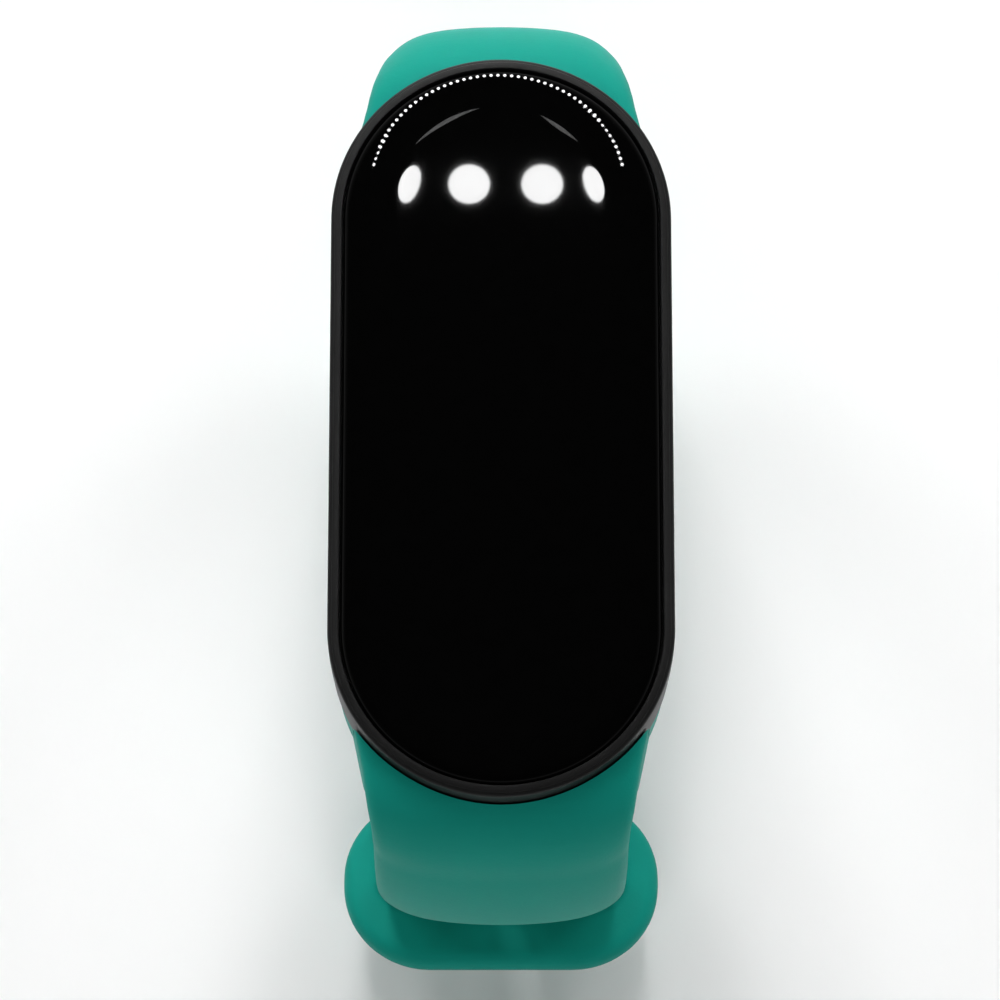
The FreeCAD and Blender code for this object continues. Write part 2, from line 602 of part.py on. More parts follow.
def strap_cradle(upper, lower):
    """The ring that grips the tub, moulded in one with the roots of both arms."""
    top = -size("flangeDepth") - size("cradleTopGap")
    length, width, tall = size("caseLength"), size("caseWidth"), size("cradleTall")
    inset, slack = 2 * size("cradleInset"), 2 * size("cradleFit")
    ring = pill_prism(length - inset, width - inset, top, tall)
    moulding = ring.multiFuse([shoulder(upper), shoulder(lower)])
    tub = slack - 2 * size("tubInset")
    above = size("overcut")
    seat = pill_prism(length + tub, width + tub, above, size("rootTall") + size("flangeDepth") + tall)
    flange = pill_prism(length + slack, width + slack, above, above - top)
    set_shape("strap_cradle", moulding.cut([seat, flange]).removeSplitter())


def oval_cutter(route, travel):
    """A cutter for one oval hole, long along the strap."""
    radius = size("studRadius") + size("studFit")
    reach = max(size("holeLong") / 2 - radius, 0.01)
    tall = 4 * size("strapThick")
    bar = Part.makeBox(2 * radius, 2 * reach, tall, Vector(-radius, -reach, -tall / 2))
    ends = [Part.makeCylinder(radius, tall, Vector(0, sign * reach, -tall / 2)) for sign in (-1, 1)]
    cutter = bar.multiFuse(ends).removeSplitter()
    cutter.Placement = route.across(travel)
    return cutter


def stud_on_lower(lower):
    """The stud stands a whole number and a half of hole pitches past the middle of the long arm's fold."""
    return lower_fold(lower) + size("studPitches") * size("holePitch")


def lower_fold(lower):
    return (lower.after("Drop") + lower.after("Fold")) / 2


def stud_place(lower):
    """Where the stud stands on Y."""
    return lower.at(stud_on_lower(lower))[0]


def upper_stations(upper):
    """Where the short arm's lengths meet. It bends most at these places when it opens."""
    curve, flat = upper.after("Fall"), upper.after("Curve")
    return {"neck": upper.after("Neck"), "side": upper.after("Side"), "back": curve + (flat - curve) / 4,
            "buckle": flat - (flat - curve) / 4}


def lower_stations(lower):
    """Where the long arm's lengths meet. Past its side they lie midway between two holes."""
    stud, pitch = stud_on_lower(lower), size("holePitch")
    return {"neck": lower.after("Neck"), "side": (lower.after("Neck") + lower.after("Side")) / 2,
            "threaded": stud - (size("holesBefore") + 0.5) * pitch, "tail": lower_fold(lower),
            "middle": stud + (size("flatHoles") + 0.5) * pitch,
            "tip": stud + (size("flatHoles") + size("middleHoles") + 0.5) * pitch,
            "end": stud + size("holesAfter") * pitch + size("tipBeyond")}


def upper_arm(upper):
    """The short arm's three plain lengths between the cradle and the buckle end."""
    at = upper_stations(upper)
    for label, begin, end in (("upper_arm_root", "neck", "side"), ("upper_arm_side", "side", "back"),
                              ("upper_arm_back", "back", "buckle")):
        set_shape(label, strip(upper, at[begin], at[end], size("strapThick"), size("strapWide")))


def lower_arm(lower):
    """The long arm: two plain lengths, then the punched ones that thread the loop and button on the stud."""
    at, stud = lower_stations(lower), stud_on_lower(lower)
    count = range(-int(size("holesBefore")), int(size("holesAfter")) + 1)
    holes = [stud + number * size("holePitch") for number in count]
    order = (("lower_arm_root", "neck", "side"), ("lower_arm_side", "side", "threaded"),
             ("lower_arm_threaded", "threaded", "tail"), ("tail_flat", "tail", "middle"),
             ("tail_middle", "middle", "tip"), ("tail_tip", "tip", "end"))
    for label, begin, end in order:
        corner = size("tipCorner") if end == "end" else 0
        solid = strip(lower, at[begin], at[end], size("tailThick"), size("strapWide"), corner)
        cutters = [oval_cutter(lower, hole) for hole in holes if at[begin] < hole < at[end]]
        if cutters:
            solid = solid.cut(cutters)
        set_shape(label, solid)


def keeper_plate():
    """The oval loop at the end of the short arm, laid flat: a rounded plate with a slot."""
    body = doc.addObject("PartDesign::Body", "keeper_plate")

    def rounded_outline(name, wide, long, corner):
        sketch = body.newObject("Sketcher::SketchObject", name)
        sketch.AttachmentSupport = [(plane_of(body, "XY_Plane"), "")]
        sketch.MapMode = "FlatFace"
        bind(sketch, AttachmentOffset__Base__z="sizes.loopThick / 2")
        across, along, turn = 8.0, 5.0, 2.0
        normal = Vector(0, 0, 1)
        corners = [(1, 1), (-1, 1), (-1, -1), (1, -1)]
        for number, (sx, sy) in enumerate(corners):
            centre = Vector(sx * (across - turn), sy * (along - turn), 0)
            start = number * math.pi / 2
            circle = Part.Circle(centre, normal, turn)
            sketch.addGeometry(Part.ArcOfCircle(circle, start, start + math.pi / 2), False)
        ends = [sketch.Geometry[number].EndPoint for number in range(4)]
        starts = [sketch.Geometry[number].StartPoint for number in range(4)]
        for number in range(4):
            sketch.addGeometry(Part.LineSegment(ends[number], starts[(number + 1) % 4]), False)
        for number in range(4):
            after = (number + 1) % 4
            sketch.addConstraint(Sketcher.Constraint("Tangent", number, 2, 4 + number, 1))
            sketch.addConstraint(Sketcher.Constraint("Tangent", 4 + number, 2, after, 1))
            if number:
                sketch.addConstraint(Sketcher.Constraint("Equal", 0, number))
        sketch.addConstraint(Sketcher.Constraint("Horizontal", 4))
        sketch.addConstraint(Sketcher.Constraint("Vertical", 5))
        sketch.addConstraint(Sketcher.Constraint("Horizontal", 6))
        sketch.addConstraint(Sketcher.Constraint("Vertical", 7))
        radius = sketch.addConstraint(Sketcher.Constraint("Radius", 0, turn))
        sketch.setExpression(f"Constraints[{radius}]", corner)
        for kind, line, value, amount in (("DistanceY", 4, along, f"({long}) / 2"),
                                          ("DistanceY", 6, -along, f"-({long}) / 2"),
                                          ("DistanceX", 7, across, f"({wide}) / 2"),
                                          ("DistanceX", 5, -across, f"-({wide}) / 2")):
            held = sketch.addConstraint(Sketcher.Constraint(kind, -1, 1, line, 1, value))
            sketch.setExpression(f"Constraints[{held}]", amount)
        return sketch

    plate = body.newObject("PartDesign::Pad", "loop_pad")
    plate.Profile = rounded_outline("loop_outline", "sizes.loopWide", "sizes.loopLong", "sizes.loopCorner")
    plate.Reversed = True
    bind(plate, Length="sizes.loopThick")
    doc.recompute()
    before = body.Shape.Volume
    slot = body.newObject("PartDesign::Pocket", "loop_slot")
    slot.Profile = rounded_outline("slot_outline", "sizes.slotWide", "sizes.slotLong", "sizes.slotCorner")
    bind(slot, Length="sizes.loopThick")
    doc.recompute()
    assert body.Shape.Volume < before, "the keeper's slot cuts nothing"
    level = size("loopThick") / 2
    flat = [f"Edge{i}" for i, e in enumerate(slot.Shape.Edges, start=1)
            if abs(abs(e.BoundBox.ZMax) - level) < 1e-5 and e.BoundBox.ZLength < 1e-5]
    soft = body.newObject("PartDesign::Fillet", "loop_round")
    soft.Base = (slot, flat)
    bind(soft, Radius="min(sizes.loopEdge; sizes.edgeShare * sizes.loopThick)")
    return body


def buckle_end(upper, lower):
    """The short arm's flat end, moulded in one with the keeper loop, and bored for the stud."""
    begin, end = upper_stations(upper)["buckle"], upper.after("Flat")
    y, z, _ = upper.at(end)
    strap = doc.addObject("Part::Feature", "buckle_strip")
    root = Part.makeBox(size("lapWide"), size("loopLap") + size("lapInto"), size("strapThick") / 2)
    root.Placement = Placement(Vector(-size("lapWide") / 2, y - size("loopLap"), z - size("strapThick") / 4),
                               Rotation())
    strap.Shape = strip(upper, begin, end, size("strapThick"), size("strapWide")).fuse(root).removeSplitter()
    strap.Placement = Placement()
    loop, tilt, reach = keeper_plate(), math.radians(size("loopTilt")), size("loopLong") / 2
    loop.Placement = Placement(Vector(0, y - reach * math.cos(tilt), z + reach * math.sin(tilt)),
                               Rotation(Vector(1, 0, 0), -size("loopTilt")))
    stud = stud_place(lower)
    bore = doc.addObject("Part::Cylinder", "stud_bore")
    bind(bore, Radius="sizes.studRadius", Height="4 * sizes.strapThick")
    bore.Placement = Placement(Vector(0, stud, z - 2 * size("strapThick")), Rotation())
    seat = doc.addObject("Part::Cylinder", "disc_seat")
    bind(seat, Radius="sizes.discRadius + sizes.discFit", Height="sizes.strapThick")
    seat.Placement = Placement(Vector(0, stud, z + size("strapThick") / 2 - size("discThick")), Rotation())
    finish(cut("buckle", join("buckle", strap, loop), bore, seat), "buckle_end")


def closure_stud(upper, lower):
    """The stud that buttons the tail down, and the disc that backs it on the wrist side."""
    y, z = stud_place(lower), upper.at(upper.after("Flat"))[1]
    inner_face = z + size("strapThick") / 2
    tail_outside = z - size("strapThick") / 2 - size("wrapGap") - size("tailThick")
    backing = doc.addObject("Part::Cylinder", "disc")
    bind(backing, Radius="sizes.discRadius", Height="sizes.discThick")
    backing.Placement = Placement(Vector(0, y, inner_face - size("discThick")), Rotation())
    finish(backing, "stud_disc")
    head_top = tail_outside - size("studHeadGap")
    post = doc.addObject("Part::Cylinder", "stud_post")
    bind(post, Radius="sizes.studRadius")
    post.Height = inner_face - size("discThick") - head_top
    post.Placement = Placement(Vector(0, y, head_top), Rotation())
    head = doc.addObject("Part::Cylinder", "stud_head")
    bind(head, Radius="sizes.studHeadRadius", Height="sizes.studHeadThick")
    head.Placement = Placement(Vector(0, y, head_top - size("studHeadThick")), Rotation())
    finish(join("stud", post, head), "closure_stud")


# ---------------------------------------------------------------- build, test and write

UPPER, LOWER = arm_routes()

for make in (cover_glass, case_body, screen_glue, touch_layer, display_panel, display_foam, inner_frame,
             display_ribbon, back_cover, back_seal, battery, main_board, coin_motor, optical_sensor,
             charging_contacts):
    make()
strap_cradle(UPPER, LOWER)
upper_arm(UPPER)
buckle_end(UPPER, LOWER)
closure_stud(UPPER, LOWER)
lower_arm(LOWER)
doc.recompute()

for obj in doc.Objects:
    bad = [state for state in obj.State if state in ("Invalid", "Error")]
    assert not bad, f"{obj.Label} is {bad}"
for label, obj in nodes.items():
    assert not obj.Shape.isNull() and obj.Shape.isValid(), f"{label} has no valid shape"

os.makedirs("parts", exist_ok=True)
for label, obj in nodes.items():
    obj.Shape.exportStep(f"parts/{label}.step")
print(len(nodes), "parts written")
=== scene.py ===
import json
import math

import bmesh
import bpy
from mathutils import Matrix, Vector


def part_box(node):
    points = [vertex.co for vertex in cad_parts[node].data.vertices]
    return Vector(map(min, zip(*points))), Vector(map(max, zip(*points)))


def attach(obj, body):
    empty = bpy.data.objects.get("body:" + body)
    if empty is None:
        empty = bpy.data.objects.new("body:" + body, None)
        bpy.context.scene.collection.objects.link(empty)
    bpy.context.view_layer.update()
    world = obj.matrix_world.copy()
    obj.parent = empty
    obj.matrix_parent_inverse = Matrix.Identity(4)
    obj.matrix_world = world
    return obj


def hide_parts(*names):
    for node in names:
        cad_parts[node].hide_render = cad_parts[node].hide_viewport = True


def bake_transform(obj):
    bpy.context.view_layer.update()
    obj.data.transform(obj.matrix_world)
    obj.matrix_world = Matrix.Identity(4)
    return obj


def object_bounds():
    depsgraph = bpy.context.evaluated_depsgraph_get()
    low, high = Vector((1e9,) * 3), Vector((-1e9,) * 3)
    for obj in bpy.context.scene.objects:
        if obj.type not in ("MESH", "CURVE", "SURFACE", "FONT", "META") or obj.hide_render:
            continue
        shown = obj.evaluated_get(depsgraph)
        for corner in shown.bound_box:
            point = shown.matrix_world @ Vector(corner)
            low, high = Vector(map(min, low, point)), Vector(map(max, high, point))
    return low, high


# A tracker capsule in a buttoned elastomer strap. Metres and degrees. The origin is the middle of the
# screen's front face, +Z points out of the screen and +Y towards the short arm.

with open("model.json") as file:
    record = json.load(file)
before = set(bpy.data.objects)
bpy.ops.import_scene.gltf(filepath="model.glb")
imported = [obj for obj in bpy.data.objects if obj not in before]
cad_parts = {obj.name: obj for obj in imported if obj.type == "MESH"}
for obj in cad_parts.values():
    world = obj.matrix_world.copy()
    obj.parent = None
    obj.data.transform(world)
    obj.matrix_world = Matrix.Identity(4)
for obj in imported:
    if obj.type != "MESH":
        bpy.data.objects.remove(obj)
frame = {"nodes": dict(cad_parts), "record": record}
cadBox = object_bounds()
print("frame loaded,", len(frame["nodes"]), "nodes")

mm = 0.001
shown = bpy.context.scene.collection


# small mesh tools

def newObject(name, mesh):
    piece = bpy.data.objects.new(name, mesh)
    shown.objects.link(piece)
    return piece


def meshFrom(name, points, faces):
    mesh = bpy.data.meshes.new(name)
    mesh.from_pydata([tuple(p) for p in points], [], faces)
    mesh.validate()
    return newObject(name, mesh)


def applyModifiers(piece):
    # the evaluated result becomes the piece's own plain mesh
    bpy.context.view_layer.update()
    evaluated = piece.evaluated_get(bpy.context.evaluated_depsgraph_get())
    made = bpy.data.meshes.new_from_object(evaluated)
    piece.modifiers.clear()
    was = piece.data
    piece.data = made
    if was.users == 0:
        bpy.data.meshes.remove(was)


def removePieces(*pieces):
    for piece in pieces:
        bpy.data.objects.remove(piece)


def editMesh(piece, work):
    bm = bmesh.new()
    bm.from_mesh(piece.data)
    work(bm)
    bm.to_mesh(piece.data)
    bm.free()
    return piece


def faceOutwards(piece):
    def work(bm):
        bmesh.ops.remove_doubles(bm, verts=bm.verts, dist=1e-6)
        bmesh.ops.recalc_face_normals(bm, faces=bm.faces)
    return editMesh(piece, work)


def smoothBelow(piece, angle):
    # faces are smooth, and edges that turn by more than the angle stay sharp
    def work(bm):
        for face in bm.faces:
            face.smooth = True
        for edge in bm.edges:
            edge.smooth = len(edge.link_faces) == 2 and edge.calc_face_angle(0) < math.radians(angle)
    editMesh(piece, work)


def joinPieces(name, pieces):
    bm = bmesh.new()
    for piece in pieces:
        bm.from_mesh(piece.data)
    mesh = bpy.data.meshes.new(name)
    bm.to_mesh(mesh)
    bm.free()
    removePieces(*pieces)
    return newObject(name, mesh)


def cutAway(piece, cutter):
    boolean = piece.modifiers.new("cut", "BOOLEAN")
    boolean.operation, boolean.solver, boolean.object = "DIFFERENCE", "EXACT", cutter
    applyModifiers(piece)
    removePieces(cutter)


def meltTogether(piece, pitch, turns, soft):
    # one skin over overlapping solids, with its inner corners eased where soft says so
    remesh = piece.modifiers.new("melt", "REMESH")
    remesh.mode, remesh.voxel_size = "VOXEL", pitch
    applyModifiers(piece)
    group = piece.vertex_groups.new(name="soft")
    for vertex in piece.data.vertices:
        group.add([vertex.index], soft(vertex.co), "REPLACE")
    ease = piece.modifiers.new("ease", "SMOOTH")
    ease.factor, ease.iterations, ease.vertex_group = 0.5, turns, "soft"
    applyModifiers(piece)
    piece.vertex_groups.clear()


def sliceAt(piece, place, heading):
    # drops what lies past a plane and closes the cut
    def work(bm):
        geometry = bm.verts[:] + bm.edges[:] + bm.faces[:]
        made = bmesh.ops.bisect_plane(bm, geom=geometry, plane_co=place, plane_no=heading, clear_outer=True,
                                      dist=1e-7)
        rim = [e for e in made["geom_cut"] if isinstance(e, bmesh.types.BMEdge)]
        bmesh.ops.holes_fill(bm, edges=rim)
    editMesh(piece, work)


def skinRings(name, rings, closed=False):
    # one skin over rings of equally many points, joined round to the first ring or capped at both ends
    count, last = len(rings[0]), len(rings) - 1
    faces = []
    for upper, lower in [(row, row + 1) for row in range(last)] + ([(last, 0)] if closed else []):
        for i in range(count):
            j = (i + 1) % count
            faces.append((upper * count + i, lower * count + i, lower * count + j, upper * count + j))
    if not closed:
        faces += [tuple(range(count)), tuple(reversed(range(last * count, (last + 1) * count)))]
    return faceOutwards(meshFrom(name, [p for ring in rings for p in ring], faces))


def lathe(name, centre, profile, steps):
    # profile is (radius, height) from the top's middle round to the underside's middle
    angles = [2 * math.pi * i / steps for i in range(steps)]
    return skinRings(name, [[(centre.x + radius * math.cos(a), centre.y + radius * math.sin(a), height)
                             for a in angles] for radius, height in profile])


def bevelRims(piece, width, chosen):
    def work(bm):
        edges = [e for e in bm.edges if len(e.link_faces) == 2 and chosen(e)]
        bmesh.ops.bevel(bm, geom=edges, offset=width, segments=2, profile=0.5, affect="EDGES",
                        clamp_overlap=True)
    editMesh(piece, work)


# sockets as numbers: an expression on them adds its Math nodes

class Wire:
    def __init__(self, tree, socket):
        self.tree, self.socket = tree, socket

    def maths(self, operation, *others):
        return self.tree.add("ShaderNodeMath", {"operation": operation}, dict(enumerate((self, *others))))

    def __add__(self, other):
        return self.maths("ADD", other)

    def __sub__(self, other):
        return self.maths("SUBTRACT", other)

    def __rsub__(self, other):
        return Wire(self.tree, other).maths("SUBTRACT", self)

    def __mul__(self, other):
        return self.maths("MULTIPLY", other)

    def __truediv__(self, other):
        return self.maths("DIVIDE", other)

    def __rtruediv__(self, other):
        return Wire(self.tree, other).maths("DIVIDE", self)

    def __pow__(self, other):
        return self.maths("POWER", other)

    __radd__, __rmul__ = __add__, __mul__

    def floor(self):
        return self.maths("FLOOR")

    def modulo(self, other):
        return self.maths("FLOORED_MODULO", other)

    def outputs(self):
        # every output of this socket's node, by name
        return {s.name: Wire(self.tree, s) for s in self.socket.node.outputs if s.name}


class Tree:
    # one node tree; add() takes a node's type, its settings and its sockets' values or links
    def __init__(self, nodeTree):
        self.nodes, self.links = nodeTree.nodes, nodeTree.links

    def add(self, kind, settings=None, sockets=None, out=0):
        node = self.nodes.new(kind)
        for name, value in (settings or {}).items():
            if name == "stops":
                self.setStops(node.color_ramp, value)
            else:
                setattr(node, name, value)
        for key, value in (sockets or {}).items():
            self.feed(node.inputs[key], value)
        return None if out is None else Wire(self, node.outputs[out])

    def feed(self, socket, value):
        source = value.socket if isinstance(value, Wire) else value
        if isinstance(source, bpy.types.NodeSocket):
            self.links.new(source, socket)
        else:
            socket.default_value = source

    def setStops(self, ramp, stops):
        while len(ramp.elements) < len(stops):
            ramp.elements.new(1.0)
        for element, (place, colour) in zip(ramp.elements, stops):
            element.position, element.color = place, colour


# materials

def grey(level):
    return (level, level, level, 1)


def newMaterial(name, **fixed):
    # a Principled shader whose even values sit on its own sockets
    material = bpy.data.materials.new(name)
    material.use_nodes = True
    tree = Tree(material.node_tree)
    shader = material.node_tree.nodes["Principled BSDF"]
    for socket, value in fixed.items():
        shader.inputs[socket].default_value = value
    place = tree.add("ShaderNodeTexCoord", out="Object")
    return material, tree, shader, place


def noise(tree, place, scale, detail=2.0, rough=0.5):
    return tree.add("ShaderNodeTexNoise", {}, {"Vector": place, "Scale": scale, "Detail": detail,
                                               "Roughness": rough})


def bump(tree, height, distance):
    return tree.add("ShaderNodeBump", {}, {"Height": height, "Distance": distance, "Strength": 1.0})


def mixColours(tree, share, first, second):
    return tree.add("ShaderNodeMix", {"data_type": "RGBA"}, {0: share, 6: first, 7: second}, out=2)


def darker(colour, share):
    return tuple(c * share for c in colour[:3]) + (1,)


strapFinish = {"colour": (0.008, 0.285, 0.226, 1), "deep": (0.006, 0.255, 0.202, 1), "roughness": 0.5,
               "grain": 5200, "grainDepth": 0.000018, "blotch": 160, "orangePeel": 900}


def strapRubber():
    material, tree, shader, place = newMaterial("strapRubber", **{"Specular IOR Level": 0.06, "IOR": 1.43})
    f = strapFinish
    cloud = noise(tree, place, f["blotch"], 3)
    fine = noise(tree, place, f["grain"], 2, 0.6)
    peel = noise(tree, place, f["orangePeel"], 2)
    tree.feed(shader.inputs["Base Color"], mixColours(tree, cloud, f["deep"], f["colour"]))
    tree.feed(shader.inputs["Roughness"], f["roughness"] - 0.05 + 0.06 * cloud + 0.05 * fine)
    tree.feed(shader.inputs["Normal"], bump(tree, fine * 0.6 + peel * 0.6, f["grainDepth"]))
    return material


caseFinish = {"colour": grey(0.0055), "worn": grey(0.010), "roughness": 0.42, "grain": 7000,
              "grainDepth": 0.000006, "blotch": 220}


def casePlastic():
    material, tree, shader, place = newMaterial("casePlastic", **{"Specular IOR Level": 0.25})
    f = caseFinish
    fine = noise(tree, place, f["grain"], 1)
    cloud = noise(tree, place, f["blotch"], 3)
    tree.feed(shader.inputs["Base Color"], mixColours(tree, cloud, f["colour"], f["worn"]))
    tree.feed(shader.inputs["Roughness"], f["roughness"] + 0.08 * cloud + 0.04 * fine)
    tree.feed(shader.inputs["Normal"], bump(tree, fine, f["grainDepth"]))
    return material


glassFinish = {"ink": (grey(0.0008), grey(0.0013)), "inkScale": 900, "smear": 90, "roughness": 0.008}


def screenGlass():
    # black ink under polished glass, with a barely uneven oil-repelling coat
    material, tree, shader, place = newMaterial("screenGlass", IOR=1.5)
    f = glassFinish
    smear = noise(tree, place, f["smear"], 4, 0.6)
    ink = noise(tree, place, f["inkScale"], 1)
    tree.feed(shader.inputs["Base Color"], mixColours(tree, ink, *f["ink"]))
    tree.feed(shader.inputs["Roughness"], f["roughness"] + 0.01 * smear)
    return material


partFinish = {"blotch": 600, "grain": 3600}


def plainFinish(name, colour, roughness, metallic=0.0, spread=0.12, depth=0.000004):
    # a small part's finish: colour and gloss vary a little, over a fine surface
    material, tree, shader, place = newMaterial(name, Metallic=metallic)
    cloud = noise(tree, place, partFinish["blotch"], 3)
    tree.feed(shader.inputs["Base Color"], mixColours(tree, cloud, darker(colour, 1 - spread), colour))
    tree.feed(shader.inputs["Roughness"], roughness - 0.04 + 0.08 * cloud)
    tree.feed(shader.inputs["Normal"], bump(tree, noise(tree, place, partFinish["grain"], 1), depth))
    return material


def brushedMetal(name, colour, roughness):
    # noise stretched along Y, so the fine lines run lengthways
    material, tree, shader, place = newMaterial(name, Metallic=1.0)
    stretched = tree.add("ShaderNodeMapping", {}, {"Vector": place, "Scale": (9000, 500, 500)})
    lines = noise(tree, stretched, 1.0, 2)
    tree.feed(shader.inputs["Base Color"], mixColours(tree, lines, darker(colour, 0.85), colour))
    tree.feed(shader.inputs["Roughness"], roughness + 0.12 * lines)
    tree.feed(shader.inputs["Normal"], bump(tree, lines, 0.000003))
    return material


materials = {
    "strap": strapRubber(),
    "case": casePlastic(),
    "screen_glass": screenGlass(),
    "black_adhesive": plainFinish("blackAdhesive", grey(0.02), 0.7),
    "clear_film": plainFinish("touchFilm", grey(0.06), 0.2),
    "display": plainFinish("displayPanel", grey(0.01), 0.15),
    "foam": plainFinish("foamPad", grey(0.03), 0.9, depth=0.00003),
    "frame_plastic": plainFinish("framePlastic", grey(0.03), 0.5),
    "ribbon": plainFinish("amberRibbon", (0.55, 0.25, 0.06, 1), 0.35),
    "seal_rubber": plainFinish("sealRubber", grey(0.02), 0.6),
    "battery_foil": plainFinish("batteryFoil", (0.7, 0.7, 0.72, 1), 0.35, metallic=1.0, depth=0.00002),
    "circuit_board": plainFinish("solderMask", (0.01, 0.09, 0.05, 1), 0.35, spread=0.3),
    "chip": plainFinish("chipEpoxy", grey(0.03), 0.55),
    "antenna_ceramic": plainFinish("antennaCeramic", (0.85, 0.83, 0.78, 1), 0.7),
    "steel": brushedMetal("motorSteel", (0.6, 0.6, 0.6, 1), 0.3),
    "tungsten": plainFinish("sinteredWeight", (0.35, 0.35, 0.37, 1), 0.5, metallic=1.0),
    "lamp": plainFinish("lampLens", (0.3, 0.75, 0.4, 1), 0.1),
    "detector": plainFinish("detectorLens", (0.03, 0.03, 0.05, 1), 0.15),
    "sensor_window": plainFinish("sensorWindow", (0.004, 0.004, 0.006, 1), 0.06, depth=0.0000005),
    "gold_contact": plainFinish("goldContact", (0.9, 0.62, 0.25, 1), 0.22, metallic=1.0, depth=0.000002),
    "stud_metal": brushedMetal("studMetal", (0.66, 0.67, 0.68, 1), 0.26),
}
print("materials made:", len(materials))


def dress(piece, slot):
    piece.data.materials.clear()
    piece.data.materials.append(materials[slot])


def handOver(piece, angle, slot, body, node):
    # a rigid piece is smoothed, dressed, and stands for one CAD node
    smoothBelow(piece, angle)
    dress(piece, slot)
    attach(piece, body)
    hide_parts(node)
    print(piece.name, len(piece.data.polygons), "faces")


for subpart in frame["record"]["subparts"]:
    cadMesh = frame["nodes"][subpart["node"]].data
    cadMesh.materials.clear()
    cadMesh.materials.append(materials[subpart["material_slot"]])


# pill-shaped shells: rings of one outline, each set in from the widest by some amount and at its own height

def pillRing(halfWide, halfLong, inset, height, steps, straight):
    radius = halfWide - inset
    reach = halfLong - halfWide
    ring = []
    for end in (1, -1):
        for step in range(steps + 1):
            angle = math.pi * step / steps + (0 if end > 0 else math.pi)
            ring.append(Vector((radius * math.cos(angle), end * reach + radius * math.sin(angle), height)))
        for step in range(1, straight):
            ring.append(Vector((-end * radius, end * reach * (1 - 2 * step / straight), height)))
    return ring


def pillShell(name, halfWide, halfLong, profile, steps, closed=False):
    # profile runs from the top's middle outwards and down to the underside's middle, as (inset, height)
    return skinRings(name, [pillRing(halfWide, halfLong, inset, height, steps, steps // 2)
                            for inset, height in profile], closed)


def arcProfile(centre, radius, begin, end, steps):
    # points of a rounded edge, as (inset, height) about its centre; 0 points outwards and 90 up
    angles = [math.radians(begin + (end - begin) * i / steps) for i in range(steps + 1)]
    return [(centre[0] - radius * math.cos(a), centre[1] + radius * math.sin(a)) for a in angles]


def smoothStep(share):
    share = min(max(share, 0), 1)
    return share * share * (3 - 2 * share)


# capsule

glassBox, caseBox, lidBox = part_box("cover_glass"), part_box("case_body"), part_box("back_cover")
glassLook = {"centre": 0.4 * mm, "flatHalf": 5.5 * mm, "domeDrop": 0.06 * mm, "edgeWide": 0.85 * mm,
             "edgeDrop": 0.34 * mm, "under": 0.9 * mm, "inner": 1.4 * mm}


def makeGlass():
    # flat in the middle, a faint dome outside that and a soft fall at the edge
    g = glassLook
    halfWide, halfLong = glassBox[1].x, glassBox[1].y
    top = glassBox[1].z
    flat = g["flatHalf"] - g["centre"]
    profile = [(halfWide - g["centre"] - flat * (step / 10), top) for step in range(10)]
    span = halfWide - g["flatHalf"] - g["edgeWide"]
    for step in range(12):
        share = step / 12
        profile.append((halfWide - g["flatHalf"] - span * share, top - g["domeDrop"] * share ** 3))
    domeEnd = 3 * g["domeDrop"] / span
    for step in range(25):
        angle = math.pi / 2 * step / 24
        fall = g["edgeDrop"] * (1 - math.cos(angle)) + domeEnd * g["edgeWide"] * math.sin(angle)
        profile.append((g["edgeWide"] * (1 - math.sin(angle)), top - g["domeDrop"] - fall))
    profile += [(0, top - g["under"]), (g["inner"], top - g["under"])]
    glass = pillShell("coverGlass", halfWide, halfLong, profile, steps=96)
    handOver(glass, 50, "screen_glass", "capsule", "cover_glass")


caseLook = {"inner": 0.66 * mm, "seatWide": 1.4 * mm, "seatDeep": 0.9 * mm, "lip": 0.03 * mm,
            "step": 0.26 * mm, "stepDrop": 0.07 * mm, "groove": 0.07 * mm, "chamfer": 0.22 * mm,
            "sideBow": 0.08 * mm, "lowEdge": 0.4 * mm, "flange": 5.08 * mm, "tubInset": 1.45 * mm,
            "tubWall": 0.9 * mm}


def makeCase():
    # a rim in two steps round the glass, bowed sides, and the narrower tub that the strap grips
    c = caseLook
    halfWide, halfLong = caseBox[1].x, caseBox[1].y
    rimTop, low = caseBox[1].z, caseBox[0].z
    flangeLow, seat = rimTop - c["flange"], rimTop - c["seatDeep"]
    wall, tub = c["inner"], c["tubInset"]
    profile = [(wall + c["seatWide"], seat), (wall, seat), (wall, rimTop - c["lip"])]
    profile += [(wall - c["lip"], rimTop), (c["step"] + 0.05 * mm, rimTop)]
    profile += [(c["step"], rimTop - 0.02 * mm), (c["step"] - c["groove"] / 2, rimTop - c["stepDrop"])]
    profile += arcProfile((c["chamfer"], rimTop - c["stepDrop"] - c["chamfer"]), c["chamfer"], 90, 0, 8)
    profile += [(0, rimTop - 1.4 * mm), (c["sideBow"] / 4, rimTop - 2.6 * mm),
                (c["sideBow"], flangeLow + 1.1 * mm)]
    profile += arcProfile((c["lowEdge"] + c["sideBow"], flangeLow + c["lowEdge"]), c["lowEdge"], 0, -90, 8)
    profile += [(tub, flangeLow), (tub, low), (tub + c["tubWall"], low), (tub + c["tubWall"], flangeLow),
                (wall + c["seatWide"], flangeLow)]
    case = pillShell("caseShell", halfWide, halfLong, profile, steps=96, closed=True)
    handOver(case, 32, "case", "capsule", "case_body")


lidLook = {"middle": 1 * mm, "edge": 0.5 * mm, "step": 1.0 * mm, "stepWide": 1.1 * mm, "raised": 0.3 * mm,
           "windowBore": 4.34 * mm, "contactBore": 1.29 * mm, "contactOffset": 2.5 * mm,
           "boreEdge": 0.08 * mm}


